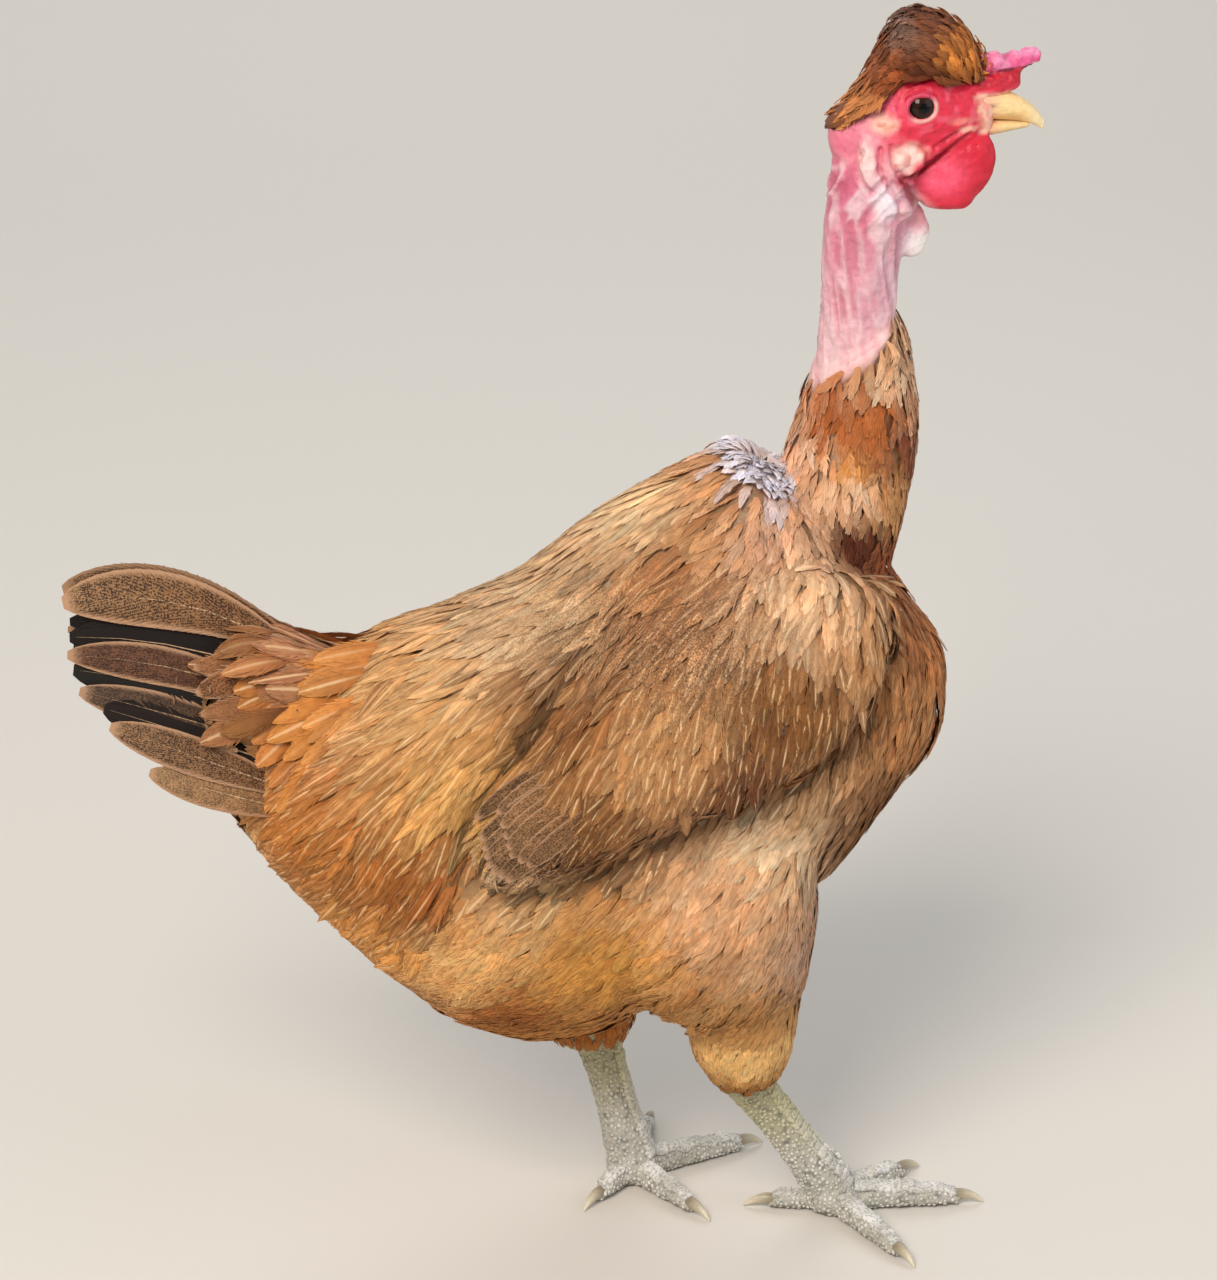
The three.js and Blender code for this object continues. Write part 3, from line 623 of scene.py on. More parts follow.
# %% Sorts of feather and the places where they grow
# Spacing, length and width in millimetres, and how deep the coat is there.
SORTS = {
    "bib": (2.7, 16, 5.0, 2.6),
    "collar": (2.8, 18, 5.2, 2.5),
    "cape": (3.3, 26, 6.2, 3.0),
    "saddle": (3.2, 34, 5.8, 3.2),
    "wing": (2.9, 19, 5.5, 2.4),
    "breast": (3.2, 21, 6.2, 3.0),
    "soft": (3.1, 24, 6.4, 2.4),
    "sleek": (2.8, 19, 5.6, 1.9),
    "leg": (2.1, 9, 4.2, 1.2),
    "down": (1.4, 8, 3.4, 3.0),
    "covert": (4.8, 28, 9.6, 3.4),
}
COAT = [
    ("nape", (72, 18, 335), (-0.15, 0.1, -1), "#ffe0ba", "bib"),
    ("bib side", (92, 26, 335), (-0.05, 0.1, -1), "#a04c12", "bib"),
    ("bib middle", (88, 28, 318), (0, 0.1, -1), "#f0cca8", "bib"),
    ("bib front", (114, 10, 338), (0.05, 0.15, -1), "#cf9c78", "bib"),
    # Painted shade: the bib's underside, where the bib hangs over the shoulder, is tinted very dark.
    ("shaded bib underside", (92, 28, 296), (-0.1, 0.1, -1), "#5e2814", "bib"),
    ("bib tip", (106, 14, 284), (0, 0.1, -1), "#a85c30", "bib"),
    ("bib rear", (82, 15, 339), (-0.15, 0.1, -1), "#b05e24", "bib"),
    ("bib crown", (100, 19, 341), (-0.1, 0.1, -1), "#b86a30", "bib"),
    ("bib gold", (90, 23, 326), (-0.1, 0.1, -1), "#cc8c48", "bib"),
    ("bib foot", (68, 3, 319), (-0.2, 0.1, -1), "#eebc98", "bib"),
    ("bib front top", (105, 13, 356), (0.05, 0.15, -1), "#e2bd96", "bib"),
    ("bib front low", (109, 17, 331), (0.05, 0.15, -1), "#8a4424", "bib"),
    ("bib stripe", (106, 22, 310), (0, 0.1, -1), "#dca468", "bib"),
    ("collar back", (44, 8, 313), (-1, 0.3, -0.5), "#d8a472", "collar"),
    ("collar side", (39, 31, 303), (-0.8, 0.3, -0.8), "#c09264", "collar"),
    ("collar low", (56, 32, 301), (-0.5, 0.35, -1), "#d9a884", "collar"),
    ("shoulder front", (70, 37, 290), (-0.3, 0.35, -1), "#d8b088", "collar"),
    ("cape ridge", (25, 8, 306), (-1, 0.2, -0.5), "#eccb9c", "cape"),
    ("cape side", (30, 40, 288), (-0.8, 0.3, -0.8), "#b98150", "cape"),
    ("shoulder", (70, 42, 283), (-0.35, 0.35, -1), "#f0c698", "wing"),
    ("mid back", (-20, 22, 273), (-1, 0.12, -0.5), "#dfbb8e", "cape"),
    ("saddle ridge", (-70, 20, 252), (-1, 0.12, -0.32), "#dcae74", "saddle"),
    ("tail root", (-105, 16, 240), (-1, 0.1, 0.02), "#b88058", "saddle"),
    # Painted shade: the crease just behind the folded wing is tinted dark.
    ("behind wing shade", (-15, 62, 250), (-0.7, 0.1, -1), "#94602f", "cape"),
    ("saddle side", (-45, 60, 215), (-0.7, 0.05, -1), "#dca860", "saddle"),
    ("saddle flank", (-72, 54, 185), (-0.62, 0, -1), "#a8682c", "saddle"),
    ("saddle fall", (-108, 38, 190), (-1, 0, -0.75), "#c07c38", "saddle"),
    ("cushion", (-132, 18, 178), (-1, 0, -0.5), "#d6a468", "breast"),
    ("saddle low", (-85, 46, 150), (-0.7, 0, -1), "#e0a050", "saddle"),
    ("flank low", (-52, 58, 140), (-0.8, 0, -0.9), "#eebc78", "soft"),
    ("wing front", (94, 46, 264), (-0.1, 0.1, -1), "#c0905e", "wing"),
    ("wing middle", (60, 66, 250), (-0.16, 0.05, -1), "#8a5a28", "wing"),
    ("wing back", (18, 70, 238), (-0.3, 0.05, -1), "#c2905c", "wing"),
    # Painted shade: a dark belt low on the folded wing, toward its lower edge.
    ("shaded wing belt", (45, 70, 222), (-0.22, 0, -1), "#6a3c1c", "wing"),
    ("wing edge", (60, 66, 208), (-0.5, 0, -1), "#b07c44", "wing"),
    ("wing end", (-12, 74, 200), (-0.75, 0, -1), "#80501f", "wing"),
    ("wing tip", (-40, 74, 182), (-1, 0, -0.95), "#d2b084", "wing"),
    ("breast top", (116, 16, 262), (0.1, 0.25, -1), "#b8743e", "breast"),
    ("breast edge", (128, 4, 225), (0, 0.3, -1), "#b8804c", "breast"),
    ("breast side", (110, 32, 235), (-0.3, 0.2, -1), "#c88c54", "breast"),
    ("breast low", (108, 26, 188), (-0.55, 0.2, -1), "#80501f", "breast"),
    ("under wing", (60, 58, 188), (-0.8, 0.05, -0.8), "#eed0a6", "sleek"),
    ("keel", (85, 5, 145), (-0.8, 0.3, -0.6), "#c09066", "sleek"),
    ("thigh top", (45, 60, 168), (-0.6, 0, -1), "#dfae80", "sleek"),
    ("thigh front", (75, 45, 145), (-0.4, 0, -1), "#c4a084", "sleek"),
    ("thigh back", (0, 62, 140), (-0.85, 0, -0.8), "#cf9648", "soft"),
    ("thigh low", (50, 50, 112), (-0.45, 0, -1), "#c08c50", "sleek"),
    ("belly side", (-28, 52, 112), (-0.9, 0, -0.65), "#a8682c", "soft"),
    ("belly low", (-20, 45, 88), (-0.9, 0, -0.45), "#cc8e44", "soft"),
    ("belly rear", (-78, 30, 105), (-0.95, 0, -0.45), "#e0b078", "soft"),
    ("belly under", (0, 5, 82), (-1, 0.1, -0.1), "#b87434", "soft"),
    ("vent", (-118, 10, 148), (-1, 0, -0.4), "#f0c088", "soft"),
    ("drumstick", (50, 45, 90), (-0.1, 0, -1), "#f6cb84", "leg"),
    ("hock", (50, 40, 68), (0, 0, -1), "#a06a28", "leg"),
    ("rump", (-128, 22, 240), (-1, 0.15, 0.25), "#8e5a24", "covert"),
    ("under tail", (-140, 16, 198), (-1, 0.1, -0.1), "#d8a468", "breast"),
]
COAT_PLACES = np.array([place for _, place, _, _, _ in COAT], float)
COAT_LIE = unit(np.array([lie for _, _, lie, _, _ in COAT], float))
COAT_TINT = np.array([rgb(tint) for _, _, _, tint, _ in COAT])
COAT_SORT = [sort for _, _, _, _, sort in COAT]
COAT_DEPTH = np.array([SORTS[sort][3] for sort in COAT_SORT])


def off_patch(points):
    """Distance from the one small patch of white down at the foot of the neck, 1 at its rim."""
    return np.linalg.norm((folded(points) - [59, 8, 315]) / [12, 18, 13], axis=1)


def coat_weights(points, sharpness=3.0):
    """How much each named place counts at each point."""
    away = np.linalg.norm(folded(points)[:, None] - COAT_PLACES[None], axis=2) + 2.0
    weight = away ** -sharpness
    return weight / weight.sum(1, keepdims=True)


def lie_at(points, normals, weight):
    """The way the coat lies, flat on the surface."""
    lie = weight @ COAT_LIE
    lie[:, 1] *= np.sign(points[:, 1])
    return unit(lie - np.sum(lie * normals, axis=1)[:, None] * normals)


# The line where the folded wing stands proud of the body, seen from the side: down the crease
# behind it, round its tip and forward along its lower edge. The top of the wing has no edge.
WING_LINE = np.array([[10, 288], [2, 278], [-11, 251], [-31, 222], [-49, 197], [-56, 183],
                      [-50, 172], [-32, 171], [-9, 179], [26, 196], [64, 209], [88, 227],
                      [101, 252], [102, 270]], float)
WING_TOP = np.array([[92, 300], [40, 310]], float)


def beyond_wing(points):
    """Distance in millimetres outside the wing's edge as seen from the side, less than 0 on the wing."""
    x, _, z = points.T
    away = off_line(points, WING_LINE)
    inside = np.zeros(len(points), bool)
    outline = np.vstack([WING_LINE, WING_TOP])
    for (x0, z0), (x1, z1) in zip(outline, np.roll(outline, -1, axis=0)):
        if z0 != z1:
            crosses = (z > z0) != (z > z1)
            inside ^= crosses & (x < (x1 - x0) * (z - z0) / (z1 - z0) + x0)
    return np.where(inside, -away, away)


def wing_groove(points):
    """1 in the groove just outside the wing's edge."""
    d = beyond_wing(points)
    outer = ramp(np.abs(points[:, 1]), 30, 42)
    return band(d, 4.5, 5.0) * outer * ramp(288 - points[:, 2], 0, 16)


weight = coat_weights(surface)
depth = (weight @ COAT_DEPTH) * ramp(-collar_height(surface), 0, 14) * ramp(surface[:, 2], 60, 76)
depth += 6.0 * wing_groove(surface)
proud = 2.4 * ramp(-beyond_wing(surface), 0, 9) * ramp(np.abs(surface[:, 1]), 34, 44)
depth -= proud * ramp(288 - surface[:, 2], 0, 16)
leg_zone = ramp(78 - surface[:, 2], 0, 12)
print("coat depth", round(float(depth.min()), 2), "to", round(float(depth.max()), 2), "mm")

# %% [markdown]
# ## Sculpting the skin
# The feathered skin sinks by the depth of its coat, so that feather tips end at the bird's true
# outline. The bare skin is worked as a sculptor would: sockets and ears are pressed in, loose
# folds run down the neck, and the comb and wattles get their grain.

# %% Folds, sockets and grain
# Creases on the side of the head, as points of x and z from one end to the other.
CREASES = [
    [(106, 422.6), (113.6, 425), (120.6, 431), (127, 436), (131.5, 438.6)],
    [(106, 422.6), (110.5, 415), (113, 408)],
    [(101.4, 436), (102, 429.4), (104.9, 424.4), (110.4, 423.8), (114.6, 427.5), (115, 432.6)],
    [(97.8, 435), (97.2, 428), (100.6, 420.6), (105.2, 413.6), (104.8, 408.4)],
    [(91.2, 434), (89.1, 428), (91.5, 422.6), (95.4, 418.4)],
    [(97.6, 406.4), (102, 405.2), (109.8, 406)],
    [(95.4, 406), (93.4, 399.6)],
    [(118, 434.6), (124.3, 438.4), (129.6, 440.9)],
]


x, y, z = surface.T
side_y = np.abs(y)
neck_middle = np.interp(z, [326, 346, 364, 392, 420, 440], [91.5, 93.7, 93.8, 94.1, 99, 101])
angle = np.arctan2(y, x - neck_middle)
arc = angle * 13
bare_neck = ramp(collar_height(surface), -6, 8) * (1 - ramp(z, 420, 434)) * ramp(108 - x, -12, 0)
long_folds = soft_noise(np.stack([arc + 0.2 * z, 0 * z, 0.14 * z], 1), 2.5, 11)
loose_folds = soft_noise(np.stack([arc - 0.5 * z, 0 * z, 0.4 * z + 0.2 * arc], 1), 4.0, 12)
upper = ramp(z, 395, 412)
folds = (1 - upper) * (1 - 2 * np.abs(long_folds)) + upper * (1 - 2 * np.abs(loose_folds))
push = 1.2 * bare_neck * folds - depth

on_head = ramp(z, 405, 415) * ramp(x, 86, 92)
eye_away = np.hypot(x - EYE[0], (z - EYE[2] + 0.1) * 1.14)
lateral = ramp(side_y, 5, 8) * on_head
eye_rings = band(eye_away, 8.3, 0.9) + 0.8 * band(eye_away, 10.8, 1.0)
push += lateral * 0.35 * eye_rings
push -= 1.0 * bare_neck * (1 - upper)
push -= 3.2 * ramp(z, 441, 450) * ramp(106 - x, 0, 10)
push += on_head * 0.8 * near(folded(surface), [113, 13, 457], [9, 4, 2])
push += lateral * 0.5 * band(eye_away, 6.2, 0.8) * ramp(z, 451, 454)
for crease in CREASES:
    away = off_line(surface, crease)
    push += lateral * (0.4 * band(away, 2.0, 0.9) - 0.9 * band(away, 0, 0.75))
grain = 0.2 * soft_noise(surface, 2.6, 21) + 0.1 * soft_noise(surface, 1.2, 22)
push += on_head * grain * ramp(side_y, 3, 6)
wattle_zone = ramp(x, 109, 113) * (1 - ramp(z, 432, 438)) * ramp(z, 404, 408)
push += wattle_zone * 0.35 * soft_noise(surface, 5.0, 23)
comb_zone = ramp(z, 453, 456) * ramp(x, 130, 133)
push += comb_zone * (0.7 * soft_noise(surface, 2.0, 24) + 0.3 * soft_noise(surface, 1.1, 27))
push -= (1.9 * near(surface, [145, 0, 466.4], [1.1, 4.0, 2.2])
         + 1.2 * near(surface, [150.4, 0, 466.5], [0.9, 4, 1.6]))
push -= 1.1 * near(surface, [138.6, 0, 466], [0.9, 4, 1.4])
push -= comb_zone * 1.0 * band(z - 459.4 - 0.12 * (x - 140), 0, 0.9)
push += leg_zone * (0.3 * soft_noise(surface, 2.4, 25) + 0.15 * soft_noise(surface, 1.3, 26))
push += leg_zone * 1.5 * near(surface, [95, -19, 21], [9, 9, 9]) * (0.3 + soft_noise(surface, 2.6, 28))
surface = surface + push[:, None] * bearing
socket = lateral * (1 - ramp(eye_away, 3.6, 4.4))
surface[:, 1] -= np.sign(y) * 5.5 * socket
surface[:, 2] = np.maximum(surface[:, 2], 0)
bearing = outward(surface, corners)
skin.data.vertices.foreach_set("co", to_scene(surface).astype(np.float32).ravel())
skin.data.polygons.foreach_set("use_smooth", np.ones(len(corners), bool))
skin.data.update()
print("deepest fold", round(float(push.min()), 2), "highest", round(float(push.max()), 2), "mm")

# %% [markdown]
# Bare skin is blood-red on the face, wattles and comb, pink down the neck and chalky on the legs.
# The colours are washed on like thin paint, each wash with a soft edge, and stored at the points
# of the skin. The material then adds pores, fine wrinkles and a little light scattered under the surface.

# %% Washes of colour on the skin
x, y, z = surface.T
side_y = np.abs(y)
flat = folded(surface)
skin_colour = np.tile(rgb("#e58f9c"), (len(surface), 1))


def wash(mask, hex_colour, strength=1.0):
    """Lays one colour over the skin where the mask is."""
    global skin_colour
    cover = np.clip(mask, 0, 1)[:, None] * strength
    skin_colour = skin_colour * (1 - cover) + rgb(hex_colour) * cover


def mottled(size, seed, low, high):
    """An irregular mask of patches of about one size in millimetres."""
    return ramp(soft_noise(surface, size, seed), low, high)


uneven = soft_noise(surface, 2.4, 47)


def spot(x0, z0, rx, rz, soft=0.18):
    """1 inside an oval on the side of the head, with a fairly crisp rim."""
    away = np.hypot((x - x0) / rx, (z - z0) / rz) + 0.16 * uneven
    return (1 - ramp(away, 1 - soft, 1 + soft)) * ramp(side_y, 3, 6)


blotch = soft_noise(surface, 9, 31)
streak = soft_noise(np.stack([arc + 0.2 * z, 0 * z, 0.14 * z], 1), 2.4, 32)
wash(ramp(415 - z, 0, 40), "#e9b0b2")
wash(ramp(380 - z, 0, 25), "#f0c2bc", 0.8)
wash(near(flat, [84, 10, 425], [9, 12, 24]), "#dd5f80", 0.8)
# The neck's folds are paler on their ridges, partly the skin's own pale edges and partly painted highlight,
# and darker in their troughs, which is painted shade.
wash(ramp(folds, 0.2, 0.9) * upper * bare_neck, "#f8e0da", 0.55)
wash((1 - ramp(folds, -0.6, 0.1)) * bare_neck, "#c95f74", 0.5)
wash(near(flat, [106, 12, 390], [7, 10, 16]), "#d3a0a6", 0.6)
wash(ramp(streak, 0.0, 0.6) * ramp(436 - z, 0, 20), "#f6d8d2", 0.5)
wash(ramp(-streak, 0.1, 0.7) * ramp(436 - z, 0, 20), "#d4808f", 0.4)
wash(ramp(blotch, 0.1, 0.5) * ramp(z, 398, 408) * (1 - ramp(z, 425, 433)), "#d56577", 0.5)
# More pale on the highest ridges of the folds: partly the skin's own paleness and partly painted highlight.
wash(ramp(folds, 0.45, 1.0) * bare_neck, "#f6ded7", 0.4)
face = ramp(z + 0.35 * (x - 100), 428, 437) * ramp(x, 95, 104)
wash(face, "#d8223f")
wash(face * mottled(4, 33, 0.0, 0.6), "#bf1230", 0.5)
wash(face * mottled(3.4, 34, 0.1, 0.6), "#ea6076", 0.6)
wash(near(flat, [98, 14, 449], [7, 8, 6]), "#e8607f", 0.75)
wash(spot(92.8, 429, 2.8, 9.5, 0.4), "#f3cfc8", 0.95)
wash(spot(98.8, 444, 5.0, 3.6, 0.45), "#f0b6a4", 0.9)
wash(spot(98.6, 443.6, 3.6, 2.4, 0.5) * mottled(1.7, 48, -0.1, 0.4), "#c98468", 0.7)
wash(spot(103, 424, 3.2, 12, 0.4) * ramp(440 - z, 0, 4), "#ec8f9e", 0.8)
wash(spot(108, 430.4, 6.8, 6.2, 0.45), "#f3c4b8")
wash(spot(107, 431.6, 4.0, 3.4, 0.6), "#f6dccf", 0.8)
wash(spot(108, 430.4, 6.4, 5.8) * mottled(2.2, 38, 0.0, 0.5), "#e4948a", 0.8)
lobe_rim = band(np.hypot((x - 108) / 6.2, (z - 430.3) / 5.8), 1.1, 0.14)
wash(lobe_rim * ramp(x, 108, 113) * lateral, "#d04850", 0.7)
wash(spot(100.6, 414.4, 5.2, 6.4, 0.6), "#fbf0ea")
wash(spot(97, 403.5, 3, 4.5, 0.4), "#f4d2cc", 0.9)
wash(near(flat, [114, 0, 395.4], [6, 7, 6.5]) * 1.8, "#f6ece6")
wash(near(flat, [112, 3, 404], [6, 7, 3]), "#e59a9c", 0.6)
wattles = ramp(x + 0.9 * (z - 420), 106, 114) * (1 - ramp(z - 0.55 * (x - 130), 437, 441))
wattles = wattles * ramp(z, 403, 406) * ramp(x, 108, 112)
wash(wattles, "#cf1030")
# Painted highlight: a pink pool of light on the middle of the wattle.
wash(wattles * near(flat, [121, 12, 423], [8, 9, 7]) * 1.3, "#f25c7a", 0.85)
# Painted shade: deeper crimson toward the wattle's front and lower edges.
wash(wattles * ramp(x + 0.4 * (424 - z), 131, 141), "#b40822", 0.75)
wash(wattles * mottled(5, 35, 0.1, 0.7), "#e02c48", 0.4)
# Painted shade along the creases of the face and neck: crimson on the face, pinker behind it, and a broader
# dark band along the jaw crease and the crease that runs down from it.
for crease in CREASES:
    line = lateral * band(off_line(surface, crease), 0, 0.8)
    wash(line * ramp(x, 106, 112), "#b01830", 0.6)
    wash(line * (1 - ramp(x, 106, 112)), "#cf5a70", 0.55)
wash(band(off_line(surface, CREASES[0]), 0, 2.0) * lateral * (1 - ramp(x, 116, 126)), "#9c0f22", 0.8)
wash(band(off_line(surface, CREASES[1]), 0, 2.4) * lateral, "#98121f", 0.7)
crevice = z - 459.4 - 0.12 * (x - 140)
wash(comb_zone * ramp(crevice, -0.8, 0.8), "#ec5f92", 0.95)
wash(comb_zone * mottled(2.2, 44, 0.0, 0.5) * ramp(crevice, 0, 1), "#f597ba", 0.8)
wash(comb_zone * ramp(z, 464, 466.6), "#f59fc0", 0.6)
wash(comb_zone * (1 - ramp(crevice, -0.8, 0.8)), "#cf1830")
# Painted shade: dark red in the groove between the comb's pink top and red base, and in the deepest dent
# between its points.
wash(comb_zone * band(crevice, 0, 0.7) * mottled(3, 45, -0.4, 0.2), "#6a0c20", 0.9)
wash(near(surface, [145, 0, 466], [1.0, 5, 2.2]) * 1.2, "#8a1038", 0.8)
cere = ramp(x + 0.15 * (z - 445), 132.5, 137) * (1 - ramp(z, 451.4, 453)) * ramp(z, 436.5, 438.5)
wash(cere, "#e7a08c", 0.9)
wash(cere * mottled(1.6, 46, -0.1, 0.5), "#efc0a6", 0.8)
wash(spot(128.6, 443.6, 5.4, 1.3, 0.5), "#e8877c", 0.7)
wash(spot(130.5, 440.2, 3.6, 1.3, 0.5), "#f0b49e", 0.8)
around_eye = np.arctan2(z - EYE[2], x - EYE[0])
pale_side = ramp(np.cos(around_eye + 0.9), -0.25, 0.5)
lid = lateral * band(eye_away, 5.5, 0.8)
wash(lid, "#d64a66", 0.8)
wash(lid * pale_side, "#f1bfb2", 0.9)
wash(lateral * band(eye_away, 4.7, 0.6) * (1 - pale_side), "#7a1020", 0.8)
# Painted shade: the skin of the socket behind the eyeball is near black.
wash(socket, "#2a080c")
legs_mask = 1 - ramp(z, 66, 74)
wash(legs_mask, "#b3afa2")
wash(legs_mask * ramp(z, 26, 50), "#a09a76", 0.8)
wash(legs_mask * mottled(1.8, 37, 0.25, 0.5), "#5a5b52", 0.6)
wash(legs_mask * (1 - ramp(z, 0.5, 3.5)), "#6d5d48", 0.7)
# Skin under the feathers takes the coat's tint at a little over half its brightness: painted shade deep in
# the coat.
coat_shade_on_skin = (weight @ COAT_TINT) * 0.55
plumed = (ramp(-collar_height(surface), 2, 9) * ramp(z, 66, 74))[:, None]
skin_colour = skin_colour * (1 - plumed) + coat_shade_on_skin * plumed
skin_colour *= 1 - bare_neck[:, None] * (1 - np.array([[0.84, 0.8, 0.9]]))
skin_colour *= 1 - comb_zone[:, None] * (1 - np.array([[0.86, 0.86, 0.9]]))
wash(1 - ramp(off_patch(surface), 0.8, 1.1), "#e2dde8")
paint(skin.data, "colour", skin_colour)
print("washes laid on", len(skin_colour), "points")

# %% [markdown]
# Living skin: a thin, slightly moist outer layer over blood. Light enters it and comes out a
# millimetre or so away, which a small subsurface amount gives. Its pores are about a millimetre
# apart; the finest wrinkles are drawn a little coarser than life so that they still show.

# %% Living skin
living_skin, tree = new_material("living_skin")
here = put(tree, "ShaderNodeTexCoord").outputs["Object"]
stored = put(tree, "ShaderNodeAttribute", attribute_name="colour")
pores = put(tree, "ShaderNodeTexVoronoi", {"Vector": here, "Scale": 850.0})
mottle = put(tree, "ShaderNodeTexNoise", {"Vector": here, "Scale": 420.0, "Detail": 4.0})
warm = put(tree, "ShaderNodeMapRange", {
    "Value": mottle, "From Min": 0.3, "From Max": 0.7, "To Min": 0.92, "To Max": 1.07})
tone = put(tree, "ShaderNodeMix", {
    "Factor": 1.0, "A": stored, "B": warm}, data_type="RGBA", blend_type="MULTIPLY")
dots = put(tree, "ShaderNodeMapRange", {
    "Value": pores, "From Min": 0.0, "From Max": 0.35, "To Min": 0.93, "To Max": 1.0})
tone_2 = put(tree, "ShaderNodeMix", {
    "Factor": 1.0, "A": tone, "B": dots}, data_type="RGBA", blend_type="MULTIPLY")
height = put(tree, "ShaderNodeMath", {0: pores, 1: mottle}, operation="ADD")
relief = put(tree, "ShaderNodeBump", {"Height": height, "Strength": 0.3, "Distance": 0.0004})
wrinkle = put(tree, "ShaderNodeTexVoronoi", {"Vector": here, "Scale": 330.0}, feature="SMOOTH_F1")
wrinkled = put(tree, "ShaderNodeBump", {
    "Height": wrinkle, "Strength": 0.7, "Distance": 0.0012, "Normal": relief})
gloss = put(tree, "ShaderNodeMapRange", {"Value": mottle, "To Min": 0.38, "To Max": 0.62})
body = put(tree, "ShaderNodeBsdfPrincipled", {
    "Base Color": tone_2, "Roughness": gloss,
    "Subsurface Weight": 0.12, "Subsurface Scale": 0.002, "Normal": wrinkled})
end_material(tree, body)
skin.data.materials.clear()
BARE_NODES = ["neck", "head", "comb", "dewlap"] + [
    f"{part}_{side_name}" for side_name in SIDES for part in ("wattle", "earlobe", "shank", "foot")] + [
    f"toe_{side_name}_{digit}" for side_name in SIDES for digit in ("middle", "inner", "outer", "hind")]


def enter_piece(piece, material, slot, *replaced):
    """Dresses a piece and enters it in the model, in place of the solids that it replaces."""
    piece.data.materials.append(material)
    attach(piece, "root")
    if replaced:
        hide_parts(*replaced)


enter_piece(skin, living_skin, "pink", *FEATHERED, *BARE_NODES)

# %% [markdown]
# ## Feathers
# A feather is a shaft with a vane on each side. The vane is a closed, rounded sheet where its barbs
# cling together, and it frays at the rim, where they let go. Each feather here is built the same
# way: a thin sheet with a rounded end, a fringe of slim tapered locks that sweep out over its rim,
# and on the stiff ones a raised shaft. The pattern is drawn once, flat, in shares of length and
# width, and is then laid over the bird thousands of times. A few drawings of each sort avoid
# repetition.

# %% One feather, drawn flat
SHEET, LOCK, SHAFT_SIDE, SHAFT_RIDGE = range(4)


def feather_drawing(seed, fringe=7, widest=0.62, fullness=0.6, sweep_by=0.24, ragged=0.05, inner=0.5,
                    sheet=0.96, rows=6, loose=0.0, shaft=0.0, first=0.3):
    """Flat pattern: shares along and across, lift in mm, kind of point, tone and faces."""
    own = np.random.default_rng(seed)
    power = math.log(0.5) / math.log(widest)
    along, across, lift, kind, tone, faces = [], [], [], [], [], []

    def half_width(s):
        return np.sin(math.pi * np.clip(s, 0.001, 0.999) ** power) ** fullness

    def add(s, t, h, k, shade=1.0):
        for store, value in ((along, s), (across, t), (lift, h), (kind, k), (tone, shade)):
            store.append(value)
        return len(along) - 1

    def strip(lines):
        for low, high in zip(lines[:-1], lines[1:]):
            for a in range(2):
                faces.extend([(low[a], high[a], high[a + 1]), (low[a], high[a + 1], low[a + 1])])

    lines = []
    for i in range(rows + 1):
        s = 0.02 + 0.968 * (1 - (1 - i / rows) ** 1.35)
        w = half_width(s) * sheet
        lines.append([add(s, t * w, -0.12 * abs(t), SHEET, 0.98) for t in (-1, 0, 1)])
    strip(lines)
    for side in (-1, 1):
        for k in range(fringe):
            s0 = first + (0.93 - first) * (k + 0.5 + own.uniform(-0.25, 0.25)) / fringe
            s1 = min(s0 + sweep_by * (1.15 - 0.45 * s0) * (1 + own.uniform(-0.25, 0.25)), 0.997)
            s1 = min(s1 + own.uniform(-loose, loose) * 0.4, 1.02)
            t0 = side * inner * half_width(s0)
            t1 = side * half_width(s1) * (1 + ragged * own.uniform(-0.3, 1.6))
            half = 0.6 * (0.93 - first) / fringe
            up = own.uniform(-0.05, 0.28)
            shade = 1 + own.normal(0, 0.07)
            a, b = add(s0 - half, t0, 0.08, LOCK, shade), add(s0 + half, t0, 0.08, LOCK, shade)
            u = 0.62
            s, t = s0 + (s1 - s0) * u ** 1.2, t0 + (t1 - t0) * u
            c = add(s - half * 0.8, t, up * u, LOCK, shade)
            d = add(s + half * 0.7, t, up * u + 0.1, LOCK, shade)
            e = add(s1, t1, up, LOCK, shade)
            new = [(a, b, d), (a, d, c), (c, d, e)]
            faces.extend(new if side < 0 else [f[::-1] for f in new])
    if shaft:
        profile = ((-shaft, 0.0, SHAFT_SIDE), (0.0, 0.5, SHAFT_RIDGE), (shaft, 0.0, SHAFT_SIDE))
        strip([[add(s, w * (1.05 - s), h, k) for w, h, k in profile] for s in np.linspace(0.02, 0.96, 6)])
    along, across = np.array(along), np.array(across)
    share = np.clip(across / np.maximum(half_width(along), 0.05), -1, 1)
    return {"along": along, "across": across, "share": share, "lift": np.array(lift),
            "kind": np.array(kind), "tone": np.array(tone), "faces": np.array(faces)}


